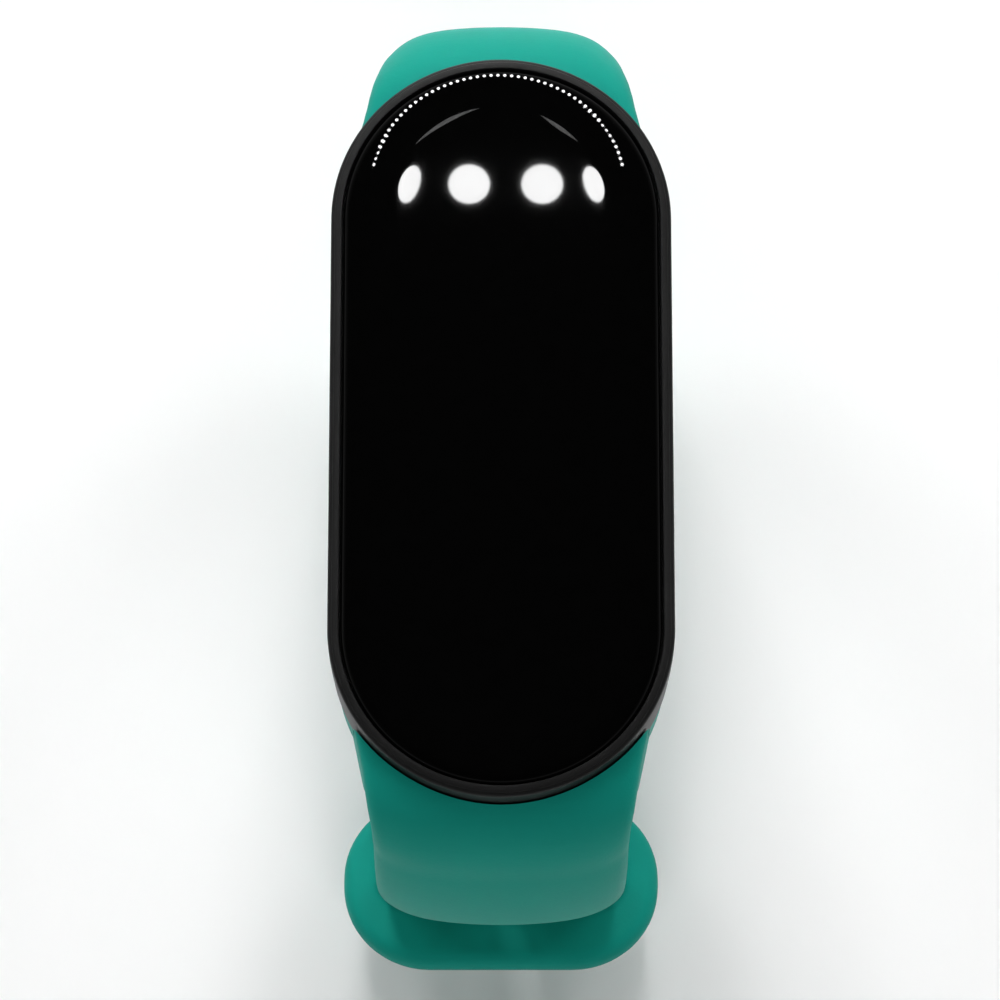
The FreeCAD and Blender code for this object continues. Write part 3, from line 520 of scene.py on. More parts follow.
def makeLid():
    # a shallow plate whose middle stands lower, bored for the pulse window and the two charging contacts
    k = lidLook
    halfWide, halfLong = lidBox[1].x, lidBox[1].y
    top, low = lidBox[1].z, lidBox[0].z
    profile = [(halfWide - k["middle"], top), (0, top)]
    profile += arcProfile((k["edge"], low + k["raised"] + k["edge"]), k["edge"], 0, -90, 8)
    profile += [(k["step"] + k["stepWide"] * i / 8, low + k["raised"] * (1 - smoothStep(i / 8)))
                for i in range(9)]
    profile.append((halfWide - k["middle"], low))
    lid = pillShell("backLid", halfWide, halfLong, profile, steps=96)
    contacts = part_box("charge_contacts")
    row = (contacts[0].y + contacts[1].y) / 2
    for x, y, radius in ((0, 0, k["windowBore"]), (-k["contactOffset"], row, k["contactBore"]),
                         (k["contactOffset"], row, k["contactBore"])):
        cutAway(lid, lathe("lidBore", Vector((x, y, 0)), [(radius, top + mm), (radius, low - mm)], 48))

    def onBore(edge):
        atFoot = all(abs(v.co.z - low) < 1e-5 for v in edge.verts)
        return edge.calc_length() < 1.2 * mm and atFoot and abs(edge.calc_face_angle(0)) > 1

    bevelRims(lid, k["boreEdge"], onBore)
    handOver(lid, 35, "case", "capsule", "back_cover")


makeGlass()
makeCase()
makeLid()
print("capsule shells made")


# the strap's centreline: straight runs and arcs, each tangent to the one before, seen from the side

strapSizes = {"wide": 15.7 * mm, "thick": 2.2 * mm, "tailThick": 2.0 * mm, "neckThick": 2.4 * mm,
              "rootWide": 18.9 * mm, "rootTall": 8.0 * mm, "rootTop": 1.2 * mm, "rootInset": 7.75 * mm,
              "rootLong": 5.5 * mm, "flareLong": 8.4 * mm, "crown": 0.9 * mm, "flatCrown": 0.35 * mm,
              "droop": (2.2 * mm, 1.0 * mm), "waist": 0.3 * mm, "corner": 0.62 * mm, "tipCorner": 6.5 * mm,
              "bendFrom": 3 * mm, "bendOver": 8 * mm, "settleOver": 13 * mm, "thinOver": 10 * mm,
              "flattenOver": 12 * mm, "step": 0.45 * mm, "tipLong": 2.2 * mm, "tipSteps": 22}
holeSizes = {"wide": 2.3 * mm, "long": 3.4 * mm, "pitch": 5.0 * mm, "edge": 0.16 * mm, "rimReach": 2.6 * mm,
             "towardsFold": 4, "towardsTip": 7, "tailPastHoles": 8 * mm}
# each span: name, radius (0 for a straight run), then its turn in degrees or its length
upperSpans = (("root", 0, strapSizes["rootLong"]), ("neck", 7.2 * mm, 70), ("side", 32 * mm, 20),
              ("fall", 42 * mm, 20), ("curve", 18 * mm, 70), ("flat", 0, 22.57 * mm))
lowerSpans = (("root", 0, strapSizes["rootLong"]), ("neck", 4.6 * mm, 78), ("side", 30 * mm, 27),
              ("fall", 120 * mm, 1.5), ("drop", 0, 21.25 * mm), ("fold", 4.4 * mm, 73.5),
              ("flat", 0, 24.28 * mm), ("tailCurve", 20.3 * mm, 70), ("tailRise", 44.3 * mm, 4.65))


class Arm:
    # one arm's path; travel is the distance along it from its root inside the shoulder
    def __init__(self, side, thick, spans):
        self.side, self.thick = side, thick
        self.spans = [(name, math.radians(last) * radius if radius else last, radius)
                      for name, radius, last in spans]
        begin = caseBox[1].y - strapSizes["rootInset"]
        self.start = side * begin, -strapSizes["rootTop"] - strapSizes["rootTall"] / 2

    def after(self, name):
        total = 0
        for span, length, _ in self.spans:
            total += length
            if span == name:
                return total

    def at(self, travel):
        (y, z), heading = self.start, 0.0
        for number, (_, length, radius) in enumerate(self.spans):
            step = travel if number == len(self.spans) - 1 else min(travel, length)
            if radius:
                turned = heading + step / radius
                y += self.side * radius * (math.sin(turned) - math.sin(heading))
                z += radius * (math.cos(turned) - math.cos(heading))
                heading = turned
            else:
                y += self.side * step * math.cos(heading)
                z -= step * math.sin(heading)
            travel -= step
            if travel <= 1e-12:
                break
        return y, z, heading

    def point(self, travel):
        return Vector((0, *self.at(travel)[:2]))

    def out(self, travel):
        heading = self.at(travel)[2]
        return Vector((0, self.side * math.sin(heading), math.cos(heading)))

    def along(self, travel):
        heading = self.at(travel)[2]
        return Vector((0, self.side * math.cos(heading), -math.sin(heading)))


upperArm, lowerArm = Arm(1, strapSizes["thick"], upperSpans), Arm(-1, strapSizes["tailThick"], lowerSpans)
upperMiddle = (upperArm.after("fall") + upperArm.after("curve")) / 2
foldMiddle = (lowerArm.after("drop") + lowerArm.after("fold")) / 2
studTravel = foldMiddle + 2.5 * holeSizes["pitch"]
tailEnd = studTravel + holeSizes["towardsTip"] * holeSizes["pitch"] + holeSizes["tailPastHoles"]
holeTravels = [studTravel + number * holeSizes["pitch"]
               for number in range(-holeSizes["towardsFold"], holeSizes["towardsTip"] + 1)]


def sectionAt(arm, travel):
    # (wide, thick, crown, droop) of the strap's section after some travel
    s = strapSizes
    root, neck = arm.after("root"), arm.after("neck")
    droop, settles = s["droop"][0], arm.after("side") - 6 * mm
    if arm is lowerArm:
        droop, settles = s["droop"][1], arm.after("fall")
    bend = smoothStep((travel - s["bendFrom"]) / s["bendOver"])
    bend *= 1 - smoothStep((travel - settles) / s["settleOver"])
    if travel < neck:
        thinned = smoothStep((travel - root) / (neck - root))
        flared = max(1 - travel / s["flareLong"], 0) ** 1.15
        wide = s["wide"] + (s["rootWide"] - s["wide"]) * flared
        thick = s["rootTall"] + (s["neckThick"] - s["rootTall"]) * thinned
        return wide - s["waist"] * bend, thick, s["crown"] * (0.7 + 0.3 * thinned), droop * bend
    settled = smoothStep((travel - neck) / s["thinOver"])
    thick = s["neckThick"] + (arm.thick - s["neckThick"]) * settled
    wide, crown = s["wide"], s["crown"]
    flatFrom = arm.after("fall") if arm is upperArm else arm.after("drop") - 10 * mm
    crown += (s["flatCrown"] - crown) * smoothStep((travel - flatFrom) / s["flattenOver"])
    if arm is lowerArm and travel > tailEnd - s["tipCorner"]:
        left = tailEnd - travel
        wide -= 2 * (s["tipCorner"] - math.sqrt(max(s["tipCorner"] ** 2 - (s["tipCorner"] - left) ** 2, 0)))
        if left < s["corner"]:
            thick -= 1.6 * (s["corner"] - math.sqrt(max(s["corner"] ** 2 - (s["corner"] - left) ** 2, 0)))
    return wide - s["waist"] * bend, thick, crown, droop * bend


def stationsOf(arm, begin, end):
    count = max(int(round((end - begin) / strapSizes["step"])), 2)
    marks = [begin + (end - begin) * i / count for i in range(count + 1)]
    if arm is lowerArm and end > tailEnd - 1e-9:
        # closer together at the rounded tip
        long, count = strapSizes["tipLong"], strapSizes["tipSteps"]
        marks = [m for m in marks if m < tailEnd - long]
        marks += [tailEnd - long * (1 - i / count) ** 2 for i in range(count + 1)]
    return marks


def addAttribute(mesh, name, kind, values):
    layer = mesh.attributes.new(name, kind, "POINT")
    if kind == "FLOAT":
        layer.data.foreach_set("value", values)
    else:
        layer.data.foreach_set("vector", [c for v in values for c in v])


def pathLine(name, arm, marks):
    # a bare line along the arm whose points carry the section there
    mesh = bpy.data.meshes.new(name)
    mesh.from_pydata([arm.point(m) for m in marks], [(i, i + 1) for i in range(len(marks) - 1)], [])
    sections = [sectionAt(arm, m) for m in marks]
    addAttribute(mesh, "out", "FLOAT_VECTOR", [arm.out(m) for m in marks])
    addAttribute(mesh, "along", "FLOAT_VECTOR", [arm.along(m) for m in marks])
    for number, label in enumerate(("wide", "thick", "crown", "droop")):
        addAttribute(mesh, label, "FLOAT", [s[number] for s in sections])
    return newObject(name, mesh)


def sectionOutline(acrossSteps=26, cornerSteps=6):
    # the section's outline for the sweep: each point has a corner it hangs from and a way to stand off it
    anchors, ways = [], []
    corners = ((1, 1), (-1, 1), (-1, -1), (1, -1))
    for number, (sx, sz) in enumerate(corners):
        for step in range(cornerSteps + 1):
            angle = math.pi / 2 * (number + step / cornerSteps)
            anchors.append((sx, 0, sz))
            ways.append((math.cos(angle), 0, math.sin(angle)))
        nx, nz = corners[(number + 1) % 4]
        inner = acrossSteps if nz == sz else 2
        for step in range(1, inner):
            share = step / inner
            anchors.append((sx + (nx - sx) * share, 0, sz + (nz - sz) * share))
            ways.append((0, 0, sz) if nz == sz else (sx, 0, 0))
    mesh = bpy.data.meshes.new("strapSection")
    mesh.from_pydata(anchors, [], [])
    addAttribute(mesh, "way", "FLOAT_VECTOR", ways)
    return newObject("strapSection", mesh)


def groupTree(name, sockets):
    tree = bpy.data.node_groups.new(name, "GeometryNodeTree")
    tree.interface.new_socket("Geometry", in_out="OUTPUT", socket_type="NodeSocketGeometry")
    ids = {label: tree.interface.new_socket(label, in_out="INPUT", socket_type=kind).identifier
           for label, kind in sockets}
    wires = Tree(tree)
    return tree, wires, wires.add("NodeGroupInput").outputs(), ids


def endTree(wires, geometry, material):
    realised = wires.add("GeometryNodeRealizeInstances", {}, {"Geometry": geometry})
    finished = wires.add("GeometryNodeSetMaterial", {}, {"Geometry": realised, "Material": material})
    wires.add("NodeGroupOutput", {}, {0: finished}, out=None)


def named(wires, name, kind="FLOAT"):
    return wires.add("GeometryNodeInputNamedAttribute", {"data_type": kind}, {"Name": name})


def sampled(wires, geometry, value, index, kind="FLOAT"):
    return wires.add("GeometryNodeSampleIndex", {"data_type": kind, "domain": "POINT"},
                     {"Geometry": geometry, "Value": value, "Index": index})


def scaled(wires, vector, factor):
    return wires.add("ShaderNodeVectorMath", {"operation": "SCALE"}, {"Vector": vector, "Scale": factor})


def summed(wires, first, second):
    return wires.add("ShaderNodeVectorMath", {"operation": "ADD"}, {0: first, 1: second})


def partsOf(wires, vector):
    return wires.add("ShaderNodeSeparateXYZ", {}, {0: vector}).outputs()


def sweepTree():
    # stands the section's outline on every point of the path and skins it
    tree, wires, given, ids = groupTree("strapSweep", (
        ("Path", "NodeSocketGeometry"), ("Section", "NodeSocketObject"), ("Corner", "NodeSocketFloat"),
        ("Material", "NodeSocketMaterial")))
    section = wires.add("GeometryNodeObjectInfo", {}, {"Object": given["Section"]}, out="Geometry")
    rows = wires.add("GeometryNodeAttributeDomainSize", {"component": "MESH"}, {"Geometry": given["Path"]})
    around = wires.add("GeometryNodeAttributeDomainSize", {"component": "MESH"}, {"Geometry": section})
    grid = wires.add("GeometryNodeMeshGrid", {}, {"Vertices X": rows, "Vertices Y": around + 1})
    number = wires.add("GeometryNodeInputIndex")
    row = (number / (around + 1)).floor()
    spot = number.modulo(around + 1).modulo(around)
    home = wires.add("GeometryNodeInputPosition")

    def onPath(name, kind="FLOAT"):
        return sampled(wires, given["Path"], named(wires, name, kind), row, kind)

    anchor = partsOf(wires, sampled(wires, section, home, spot, "FLOAT_VECTOR"))
    way = partsOf(wires, sampled(wires, section, named(wires, "way", "FLOAT_VECTOR"), spot, "FLOAT_VECTOR"))
    halfWide, halfThick, corner = onPath("wide") / 2, onPath("thick") / 2, given["Corner"]
    across = anchor["X"] * (halfWide - corner) + way["X"] * corner
    height = anchor["Z"] * (halfThick - corner) + way["Z"] * corner
    outward = wires.add("ShaderNodeMath", {"operation": "ABSOLUTE"}, {0: across / halfWide})
    domed = onPath("crown") * outward ** 2 * (height / halfThick * 0.5 + 0.5) + onPath("droop") * outward ** 6
    centre = sampled(wires, given["Path"], home, row, "FLOAT_VECTOR")
    upright = scaled(wires, onPath("out", "FLOAT_VECTOR"), height - domed)
    sideways = wires.add("ShaderNodeCombineXYZ", {}, {"X": across})
    place = summed(wires, summed(wires, centre, upright), sideways)
    skinned = wires.add("GeometryNodeSetPosition", {}, {"Geometry": grid, "Position": place})
    merged = wires.add("GeometryNodeMergeByDistance", {}, {"Geometry": skinned, "Distance": 1e-6})
    endTree(wires, merged, given["Material"])
    return tree, ids


def holeTree():
    # one cutter on every point of the path, its long way along the strap
    tree, wires, given, ids = groupTree("holeRow", (
        ("Points", "NodeSocketGeometry"), ("Cutter", "NodeSocketObject"), ("Material", "NodeSocketMaterial")))
    cutter = wires.add("GeometryNodeObjectInfo", {}, {"Object": given["Cutter"]}, out="Geometry")
    turned = wires.add("FunctionNodeAxesToRotation", {"primary_axis": "Z", "secondary_axis": "Y"},
                       {0: named(wires, "out", "FLOAT_VECTOR"), 1: named(wires, "along", "FLOAT_VECTOR")})
    placed = wires.add("GeometryNodeInstanceOnPoints", {}, {"Points": given["Points"], "Instance": cutter,
                                                            "Rotation": turned})
    endTree(wires, placed, given["Material"])
    return tree, ids


sweep, sweepIds = sweepTree()
holeRow, holeIds = holeTree()
section = sectionOutline()


def runTree(piece, tree, ids, **values):
    modifier = piece.modifiers.new("nodes", "NODES")
    modifier.node_group = tree
    for label, value in values.items():
        modifier[ids[label]] = value
    applyModifiers(piece)


def closeEnds(piece):
    def work(bm):
        rim = [e for e in bm.edges if len(e.link_faces) == 1]
        bmesh.ops.holes_fill(bm, edges=rim)
        bmesh.ops.recalc_face_normals(bm, faces=bm.faces)
    return editMesh(piece, work)


def strapLength(name, arm, begin, end):
    piece = pathLine(name, arm, stationsOf(arm, begin, end))
    runTree(piece, sweep, sweepIds, Section=section, Corner=strapSizes["corner"],
            Material=materials["strap"])
    return closeEnds(piece)


def punch(piece, arm, begin, end):
    # cuts the holes that fall between two distances, and eases their rims
    h = holeSizes
    margin = h["long"] / 2
    marks = [t for t in holeTravels if begin - margin < t < end + margin]
    row = pathLine("holeMarks", arm, marks)
    cutter = skinRings("holeCutter", [pillRing(h["wide"] / 2, h["long"] / 2, 0, z, 16, 1)
                                      for z in (1.5 * arm.thick, -1.5 * arm.thick)])
    runTree(row, holeRow, holeIds, Cutter=cutter, Material=materials["strap"])
    faceOutwards(row)
    removePieces(cutter)
    cutAway(piece, row)

    def onRim(edge):
        if edge.calc_face_angle(0) < math.radians(55):
            return False
        middle = (edge.verts[0].co + edge.verts[1].co) / 2
        near = min(abs((middle - arm.point(t)).dot(arm.along(t))) for t in (begin, end))
        return near > 0.05 * mm and any((middle - arm.point(t)).length < h["rimReach"] for t in marks)

    bevelRims(piece, h["edge"], onRim)


pocketGap = 0.12 * mm      # between the strap and the capsule


def capsulePocket():
    # what the capsule takes out of the strap: its wide flange above and its tub below
    flange = caseBox[1].x + pocketGap
    tub = flange - caseLook["tubInset"]
    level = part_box("strap_cradle")[1].z + 4 * mm
    shelf = caseBox[1].z - caseLook["flange"] - 0.05 * mm
    profile = [(flange - mm, level), (0, level), (0, shelf), (flange - tub, shelf),
               (flange - tub, shelf - 12 * mm), (flange - mm, shelf - 12 * mm)]
    return pillShell("capsulePocket", flange, caseBox[1].y + pocketGap, profile, steps=64)


ringLook = {"inset": 0.25 * mm, "inner": 2.0 * mm, "drop": 4.7 * mm, "tall": 5.53 * mm, "topEdge": 0.35 * mm,
            "bow": 0.05 * mm, "lowEdge": 0.55 * mm}
ringTop = caseBox[1].z - ringLook["drop"]
ringFoot = ringTop - ringLook["tall"]


def cradleRing(name):
    # the band that grips the tub, its outer face gently bowed
    r = ringLook
    profile = [(r["inner"], ringTop), (r["topEdge"] + 0.2 * mm, ringTop)]
    profile += arcProfile((r["topEdge"], ringTop - r["topEdge"]), r["topEdge"], 75, 0, 5)
    profile += [(0.0, ringTop - r["tall"] * 0.4), (r["bow"], ringTop - r["tall"] * 0.7)]
    profile += arcProfile((r["bow"] + r["lowEdge"], ringFoot + r["lowEdge"]), r["lowEdge"], 0, -90, 6)
    profile.append((r["inner"], ringFoot))
    halfWide, halfLong = caseBox[1].x - r["inset"], caseBox[1].y - r["inset"]
    return pillShell(name, halfWide, halfLong, profile, steps=64, closed=True)


def handOverLength(piece, start, end, replaced):
    # a length of strap is smoothed, dressed, baked in place and stands for the CAD nodes it replaces
    smoothBelow(piece, 50)
    dress(piece, "strap")
    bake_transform(piece)
    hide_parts(*replaced)
    print(piece.name, len(piece.data.polygons), "faces")


# voxel size and easing where solids melt into one moulding, and how far they overlap first
meltLook = {"rootPitch": 0.22 * mm, "bucklePitch": 0.2 * mm, "turns": 5, "fade": 3 * mm, "past": 0.6 * mm}


def makeRoot(name, arm, body, *replaced):
    # a shoulder, its half of the ring and the arm's first length, melted into one skin
    side, until = arm.side, arm.after("fall")
    limb = strapLength(name + "Limb", arm, 0, until + mm)
    ring = cradleRing(name + "Ring")
    sliceAt(ring, Vector((0, -side * meltLook["past"], 0)), Vector((0, -side, 0)))
    piece = joinPieces(name, [ring, limb])
    fade = arm.point(arm.after("neck")).z

    def soft(place):
        return min(max((place.z - fade) / meltLook["fade"] + 1, 0), 1)

    meltTogether(piece, meltLook["rootPitch"], meltLook["turns"], soft)
    cutAway(piece, capsulePocket())
    sliceAt(piece, arm.point(until), arm.along(until))
    sliceAt(piece, Vector((0, 0, 0)), Vector((0, -side, 0)))
    faceOutwards(piece)
    # the span from under the ring to its lower cut, its top kept below the ring's foot
    _, y, z = arm.point(arm.after("neck"))
    top, foot = min(z, ringFoot - 0.1 * mm), arm.point(until).z + 0.6 * mm
    handOverLength(piece, (0, y, top), (0, y, foot), replaced)


loopSizes = {"wide": 21.2 * mm, "long": 12.2 * mm, "corner": 5.8 * mm, "thick": 2.3 * mm, "edge": 0.95 * mm,
             "slotWide": 16.1 * mm, "slotLong": 4.0 * mm, "slotCorner": 1.6 * mm, "slotEdge": 0.7 * mm,
             "tilt": 8.0}


def roundedRing(wide, long, corner, height, steps=14, straight=10):
    # a level rectangle with round corners, its sides divided evenly
    arcs = []
    for number, (sx, sy) in enumerate(((1, 1), (-1, 1), (-1, -1), (1, -1))):
        angles = [math.pi / 2 * (number + i / steps) for i in range(steps + 1)]
        arcs.append([Vector((sx * (wide / 2 - corner) + corner * math.cos(a),
                             sy * (long / 2 - corner) + corner * math.sin(a), height)) for a in angles])
    ring = []
    for arc, following in zip(arcs, arcs[1:] + arcs[:1]):
        ring += arc + [arc[-1].lerp(following[0], i / straight) for i in range(1, straight)]
    return ring


def roundedRim(wide, long, corner, edge, growth, steps):
    # rings from the upper face down a rounded rim; growth is -1 round the plate and 1 round the slot
    rings = []
    for i in range(steps + 1):
        a = math.pi / 2 * i / steps
        off = growth * edge * (1 - math.sin(a))
        rings.append((wide + 2 * off, long + 2 * off, corner + off,
                      loopSizes["thick"] / 2 - edge * (1 - math.cos(a))))
    return rings


def lowered(rings):
    return [(wide, long, corner, -height) for wide, long, corner, height in rings]


def loopPlate():
    # the keeper: a rounded plate with a slot, both sides of its rim rounded over
    k = loopSizes
    rim = roundedRim(k["wide"], k["long"], k["corner"], k["edge"], -1, 8)
    slot = roundedRim(k["slotWide"], k["slotLong"], k["slotCorner"], k["slotEdge"], 1, 6)
    rings = rim + lowered(reversed(rim)) + lowered(slot) + list(reversed(slot))
    plate = skinRings("loopPlate", [roundedRing(*ring) for ring in rings], closed=True)
    end = upperArm.point(upperArm.after("flat"))
    tilt, reach = math.radians(k["tilt"]), k["long"] / 2
    place = Vector((0, end.y - reach * math.cos(tilt), end.z + reach * math.sin(tilt)))
    plate.data.transform(Matrix.Translation(place) @ Matrix.Rotation(-tilt, 4, "X"))
    return plate


def makeBuckleEnd():
    # the short arm's end and its keeper loop, one moulding, with a round seat for the stud's disc
    arm, middle = upperArm, upperMiddle
    limb = strapLength("buckleLimb", arm, middle - mm, arm.after("flat") + 1.2 * mm)
    piece = joinPieces("buckleEnd", [loopPlate(), limb])
    rootY = arm.point(arm.after("flat")).y

    def soft(place):
        return min(max(1 - (abs(place.y - rootY) - 2 * mm) / meltLook["fade"], 0), 1)

    meltTogether(piece, meltLook["bucklePitch"], meltLook["turns"], soft)
    sliceAt(piece, arm.point(middle), -arm.along(middle))
    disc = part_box("stud_disc")
    centre = (disc[0] + disc[1]) / 2
    radius = (disc[1].x - disc[0].x) / 2 + 0.05 * mm
    cutAway(piece, lathe("discSeat", centre, [(radius, disc[1].z + 2 * mm), (radius, disc[0].z)], 48))
    faceOutwards(piece)
    handOverLength(piece, arm.point(middle),
                   arm.point(arm.after("curve")), ("upper_arm_back", "buckle_end"))


def makeLength(name, arm, begin, end, zone, replaced, holes=False):
    piece = strapLength(name, arm, begin, end)
    if holes:
        punch(piece, arm, begin, end)
    handOverLength(piece, arm.point(zone[0]), arm.point(zone[1]), replaced)


tailSeams = [studTravel + number * holeSizes["pitch"] for number in (2.5, 5.5)]

makeRoot("strapRootUpper", upperArm, "short_arm_side", "strap_cradle", "upper_arm_root", "upper_arm_side")
makeRoot("strapRootLower", lowerArm, "long_arm_side", "strap_cradle", "lower_arm_root", "lower_arm_side")
upperFall = upperArm.after("fall")
makeLength("shortArmCurve", upperArm, upperFall, upperMiddle,
           (upperFall, upperMiddle), ("upper_arm_side",))
makeBuckleEnd()
makeLength("longArmFold", lowerArm, lowerArm.after("fall"), tailSeams[0],
           (lowerArm.after("drop"), lowerArm.after("fold")), ("lower_arm_threaded", "tail_flat"), holes=True)
makeLength("tailCurveNear", lowerArm, tailSeams[0], tailSeams[1],
           (lowerArm.after("flat"), tailSeams[1]), ("tail_middle",), holes=True)
makeLength("tailTip", lowerArm, tailSeams[1], tailEnd,
           (tailSeams[1], lowerArm.after("tailCurve")), ("tail_tip",), holes=True)
removePieces(section)
print("strap made")


# stud and its disc, turned on a lathe

studLook = {"neck": 1.0 * mm, "bore": 0.7 * mm, "fillet": 0.12 * mm, "headTall": 0.6 * mm,
            "headEdge": 0.22 * mm, "headFoot": 0.3 * mm, "discEdge": 0.12 * mm, "dish": 0.1 * mm,
            "dishWide": 0.9 * mm, "dishRim": 0.2 * mm, "middle": 0.2 * mm, "steps": 64}


def makeTurned(name, node, profile):
    low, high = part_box(node)
    piece = lathe(name, (low + high) / 2, profile((high.x - low.x) / 2, high.z, low.z), studLook["steps"])
    handOver(piece, 40, "stud_metal", "short_arm_end", node)


def studProfile(radius, high, low):
    # a thin neck over a low head, rounded above and domed below
    k = studLook
    edge, shoulder, foot = k["headEdge"], low + k["headTall"], k["headFoot"]
    profile = [(k["bore"], high), (k["neck"], high), (k["neck"], shoulder + k["fillet"]),
               (k["neck"] + k["fillet"], shoulder)]
    angles = [math.pi / 2 * i / 6 for i in range(7)]
    profile += [(radius - edge + edge * math.sin(a), shoulder - edge * (1 - math.cos(a))) for a in angles]
    angles = [math.pi / 2 * i / 8 for i in range(1, 9)]
    profile += [(radius - edge * (1 - math.cos(a)), low + foot - foot * math.sin(a)) for a in angles]
    return profile + [(k["middle"], low)]


def discProfile(radius, high, low):
    # a flat disc with a round edge and a shallow dish in its middle
    k = studLook
    edge, dish = k["discEdge"], k["dishWide"]
    angles = [math.pi / 2 * i / 5 for i in range(6)]
    profile = [(k["middle"], high - k["dish"]), (dish, high - k["dish"]), (dish + k["dishRim"], high)]
    profile += [(radius - edge + edge * math.sin(a), high - edge * (1 - math.cos(a))) for a in angles]
    return profile + [(radius, low), (k["middle"], low)]


makeTurned("closureStud", "closure_stud", studProfile)
makeTurned("studDisc", "stud_disc", discProfile)
print("stud made")


# floor, lights and camera

floorLook = {"half": 3.0, "tones": (grey(0.90), grey(0.93)), "toneScale": 3, "roughness": 0.9, "gloss": 0.1}


def makeFloor():
    size, level = floorLook["half"], cadBox[0].z
    floor = meshFrom("floor", [(-size, -size, level), (size, -size, level), (size, size, level),
                               (-size, size, level)], [(0, 1, 2, 3)])
    material, tree, shader, place = newMaterial("paleFloor", **{"Roughness": floorLook["roughness"],
                                                                "Specular IOR Level": floorLook["gloss"]})
    tone = noise(tree, place, floorLook["toneScale"], 2)
    tree.feed(shader.inputs["Base Color"], mixColours(tree, tone, *floorLook["tones"]))
    floor.data.materials.append(material)


softboxes = {"backSoftbox": {"place": (0.0, 0.95, 0.75), "size": (1.0, 0.6), "power": 6.5},
             "backLeftSoftbox": {"place": (-0.8, 0.7, 0.6), "size": (0.5, 0.5), "power": 4},
             "backRightSoftbox": {"place": (0.8, 0.7, 0.6), "size": (0.5, 0.5), "power": 4},
             "frontFill": {"place": (0.0, -0.85, 0.95), "size": (1.2, 0.5), "power": 5.4}}
softboxAim = Vector((0, 0, -0.02))


def addSoftbox(name, place, size, power):
    light = bpy.data.lights.new(name, "AREA")
    light.shape, light.energy = "RECTANGLE", power
    light.size, light.size_y = size
    lamp = newObject(name, light)
    lamp.location = place
    lamp.rotation_euler = (softboxAim - Vector(place)).to_track_quat("-Z", "Y").to_euler()
    lamp.visible_glossy = False      # only the ceiling lamps show in the glass


view = {"distance": 0.310, "elevation": 73.4, "aim": (-0.07 * mm, -5.13 * mm, 0), "frameWide": 59.8 * mm}
cameraAim = Vector(view["aim"])
tiltUp = math.radians(view["elevation"])
cameraPlace = cameraAim + Vector((0, -math.cos(tiltUp), math.sin(tiltUp))) * view["distance"]


def makeCamera():
    camera = bpy.data.cameras.new("camera")
    camera.sensor_width = 36
    camera.lens = camera.sensor_width * view["distance"] / view["frameWide"]
    camera.clip_start, camera.clip_end = 0.01, 20
    eye = newObject("camera", camera)
    eye.location = cameraPlace
    eye.rotation_euler = (cameraAim - cameraPlace).to_track_quat("-Z", "Y").to_euler()
    bpy.context.scene.camera = eye


# ceiling lamps: each is drawn as the outline its mirror image has on the glass, then carried overhead

# sizes on the glass are in millimetres; a disc is its place across, half width, half height and lean
lampLook = {"height": 0.5, "discs": ((-5.6, 0.62, 1.25, -16), (-1.95, 1.27, 1.27, 0), (2.5, 1.27, 1.27, 0),
                                     (5.65, 0.58, 1.2, 16)), "discRow": 14.95, "discGlow": 24,
            "dots": 51, "dotArc": (12, 168), "dotRing": (-0.2, 14.7, 7.75, 7.4), "dotSize": 0.1,
            "dotGlow": 34, "crescentRing": (-0.2, 13.6, 6.4), "crescents": ((100, 142), (40, 66)),
            "crescentWide": 0.24, "crescentGlow": 1.2}


def glassLean(x, y):
    # the way the glass faces at a point, from the same profile as its shell
    g = glassLook
    halfWide, reach = glassBox[1].x, glassBox[1].y - glassBox[1].x
    middle = Vector((0, math.copysign(min(abs(y), reach), y), 0))
    outward = Vector((x, y, 0)) - middle
    inset = halfWide - outward.length
    span = halfWide - g["flatHalf"] - g["edgeWide"]
    if inset < g["edgeWide"]:
        angle = math.asin(max(1 - inset / g["edgeWide"], 0))
        slope = math.tan(min(angle, 1.3)) * g["edgeDrop"] / g["edgeWide"] + 3 * g["domeDrop"] / span
    else:
        slope = 3 * g["domeDrop"] / span * max(1 - (inset - g["edgeWide"]) / span, 0) ** 2
    return (outward.normalized() * slope + Vector((0, 0, 1))).normalized()


def overhead(x, y):
    # where the view of a spot on the glass, mirrored, meets the ceiling
    spot = Vector((x * mm, y * mm, 0))
    normal = glassLean(spot.x, spot.y)
    look = (spot - cameraPlace).normalized()
    away = look - 2 * look.dot(normal) * normal
    return spot + away * (lampLook["height"] / away.z)


def ellipseOutline(x, y, halfWide, halfTall, lean, steps):
    cosine, sine = math.cos(math.radians(lean)), math.sin(math.radians(lean))
    outline = []
    for i in range(steps):
        angle = 2 * math.pi * i / steps
        u, v = halfWide * math.cos(angle), halfTall * math.sin(angle)
        outline.append((x + u * cosine - v * sine, y + u * sine + v * cosine))
    return outline


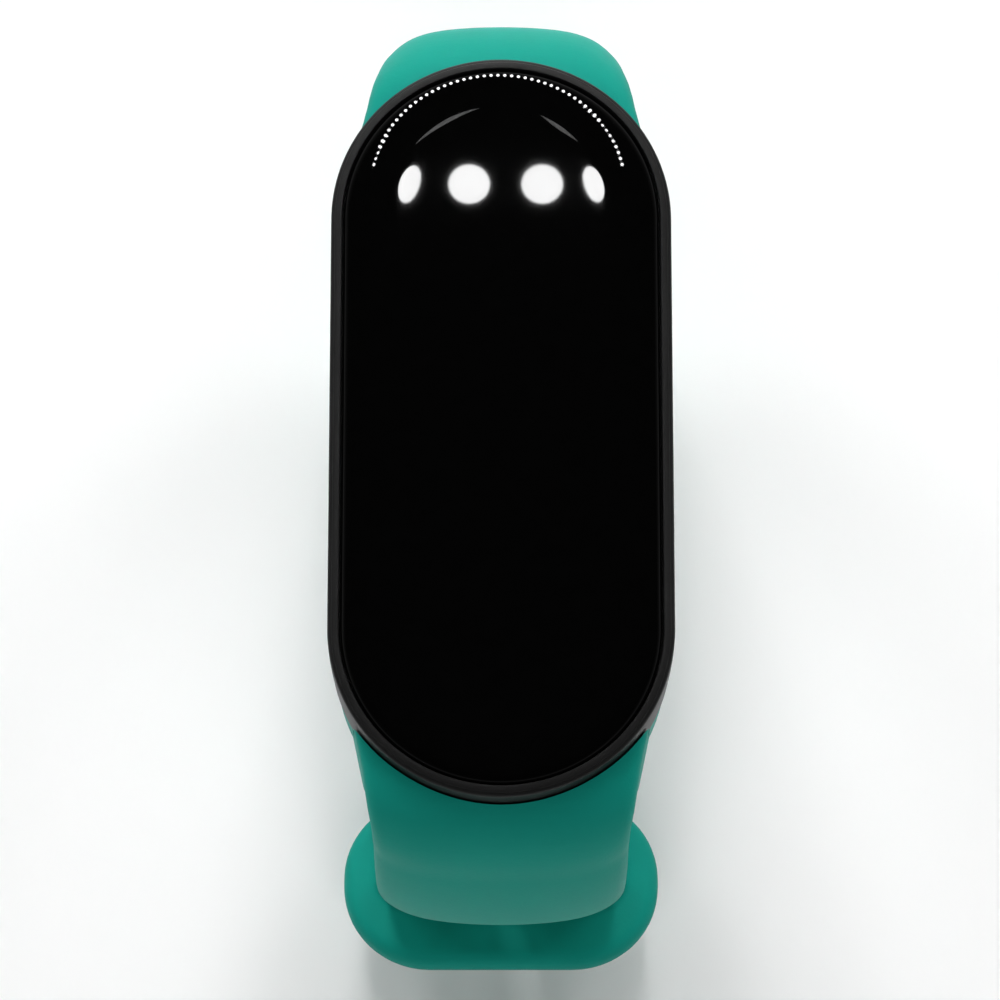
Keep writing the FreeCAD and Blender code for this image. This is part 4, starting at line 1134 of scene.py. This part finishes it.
def crescentOutline(begin, end, steps=14):
    x, y, radius = lampLook["crescentRing"]
    outer, inner = [], []
    for i in range(steps + 1):
        angle = math.radians(begin + (end - begin) * i / steps)
        thick = lampLook["crescentWide"] * math.sin(math.pi * i / steps)
        outer.append((x + radius * math.cos(angle), y + radius * math.sin(angle)))
        inner.append((x + (radius - thick) * math.cos(angle), y + (radius - thick) * math.sin(angle)))
    return outer + list(reversed(inner[1:-1]))


def addCeilingLamp(name, outlines, glow):
    points, faces = [], []
    for outline in outlines:
        faces.append(tuple(range(len(points), len(points) + len(outline))))
        points += [overhead(x, y) for x, y in outline]
    lamp = meshFrom(name, points, faces)
    material, tree, shader, place = newMaterial(name + "Glow", Roughness=1.0)
    shader.inputs["Emission Strength"].default_value = glow
    patchy = noise(tree, place, 120, 2)
    tree.feed(shader.inputs["Emission Color"], mixColours(tree, patchy, grey(0.88), grey(1.0)))
    lamp.data.materials.append(material)


def makeCeilingLamps():
    k = lampLook
    discs = [ellipseOutline(x, k["discRow"], wide, tall, lean, 32) for x, wide, tall, lean in k["discs"]]
    addCeilingLamp("ceilingDiscs", discs, k["discGlow"])
    x, y, wide, tall = k["dotRing"]
    begin, end = k["dotArc"]
    dots = []
    for number in range(k["dots"]):
        angle = math.radians(begin + (end - begin) * number / (k["dots"] - 1))
        dots.append(ellipseOutline(x + wide * math.cos(angle), y + tall * math.sin(angle), k["dotSize"],
                                   k["dotSize"], 0, 8))
    addCeilingLamp("ceilingDots", dots, k["dotGlow"])
    addCeilingLamp("ceilingCrescents", [crescentOutline(*span) for span in k["crescents"]], k["crescentGlow"])


def makeLights():
    for name, softbox in softboxes.items():
        addSoftbox(name, **softbox)
    world = bpy.data.worlds.new("studio")
    bpy.context.scene.world = world
    world.use_nodes = True
    tree = Tree(world.node_tree)
    background = world.node_tree.nodes["Background"]
    # a pale room with a dark ceiling
    direction = tree.add("ShaderNodeTexCoord", out="Generated")
    height = partsOf(tree, direction)["Z"]
    fade = ((0, grey(0.55)), (0.15, grey(0.34)), (0.4, grey(0.1)), (0.7, grey(0)))
    tree.feed(background.inputs["Color"], tree.add("ShaderNodeValToRGB", {"stops": fade}, {"Fac": height}))
    background.inputs["Strength"].default_value = 1.0


makeFloor()
makeCamera()
makeLights()
makeCeilingLamps()
bpy.context.scene.view_settings.view_transform = "Standard"
print("studio made")
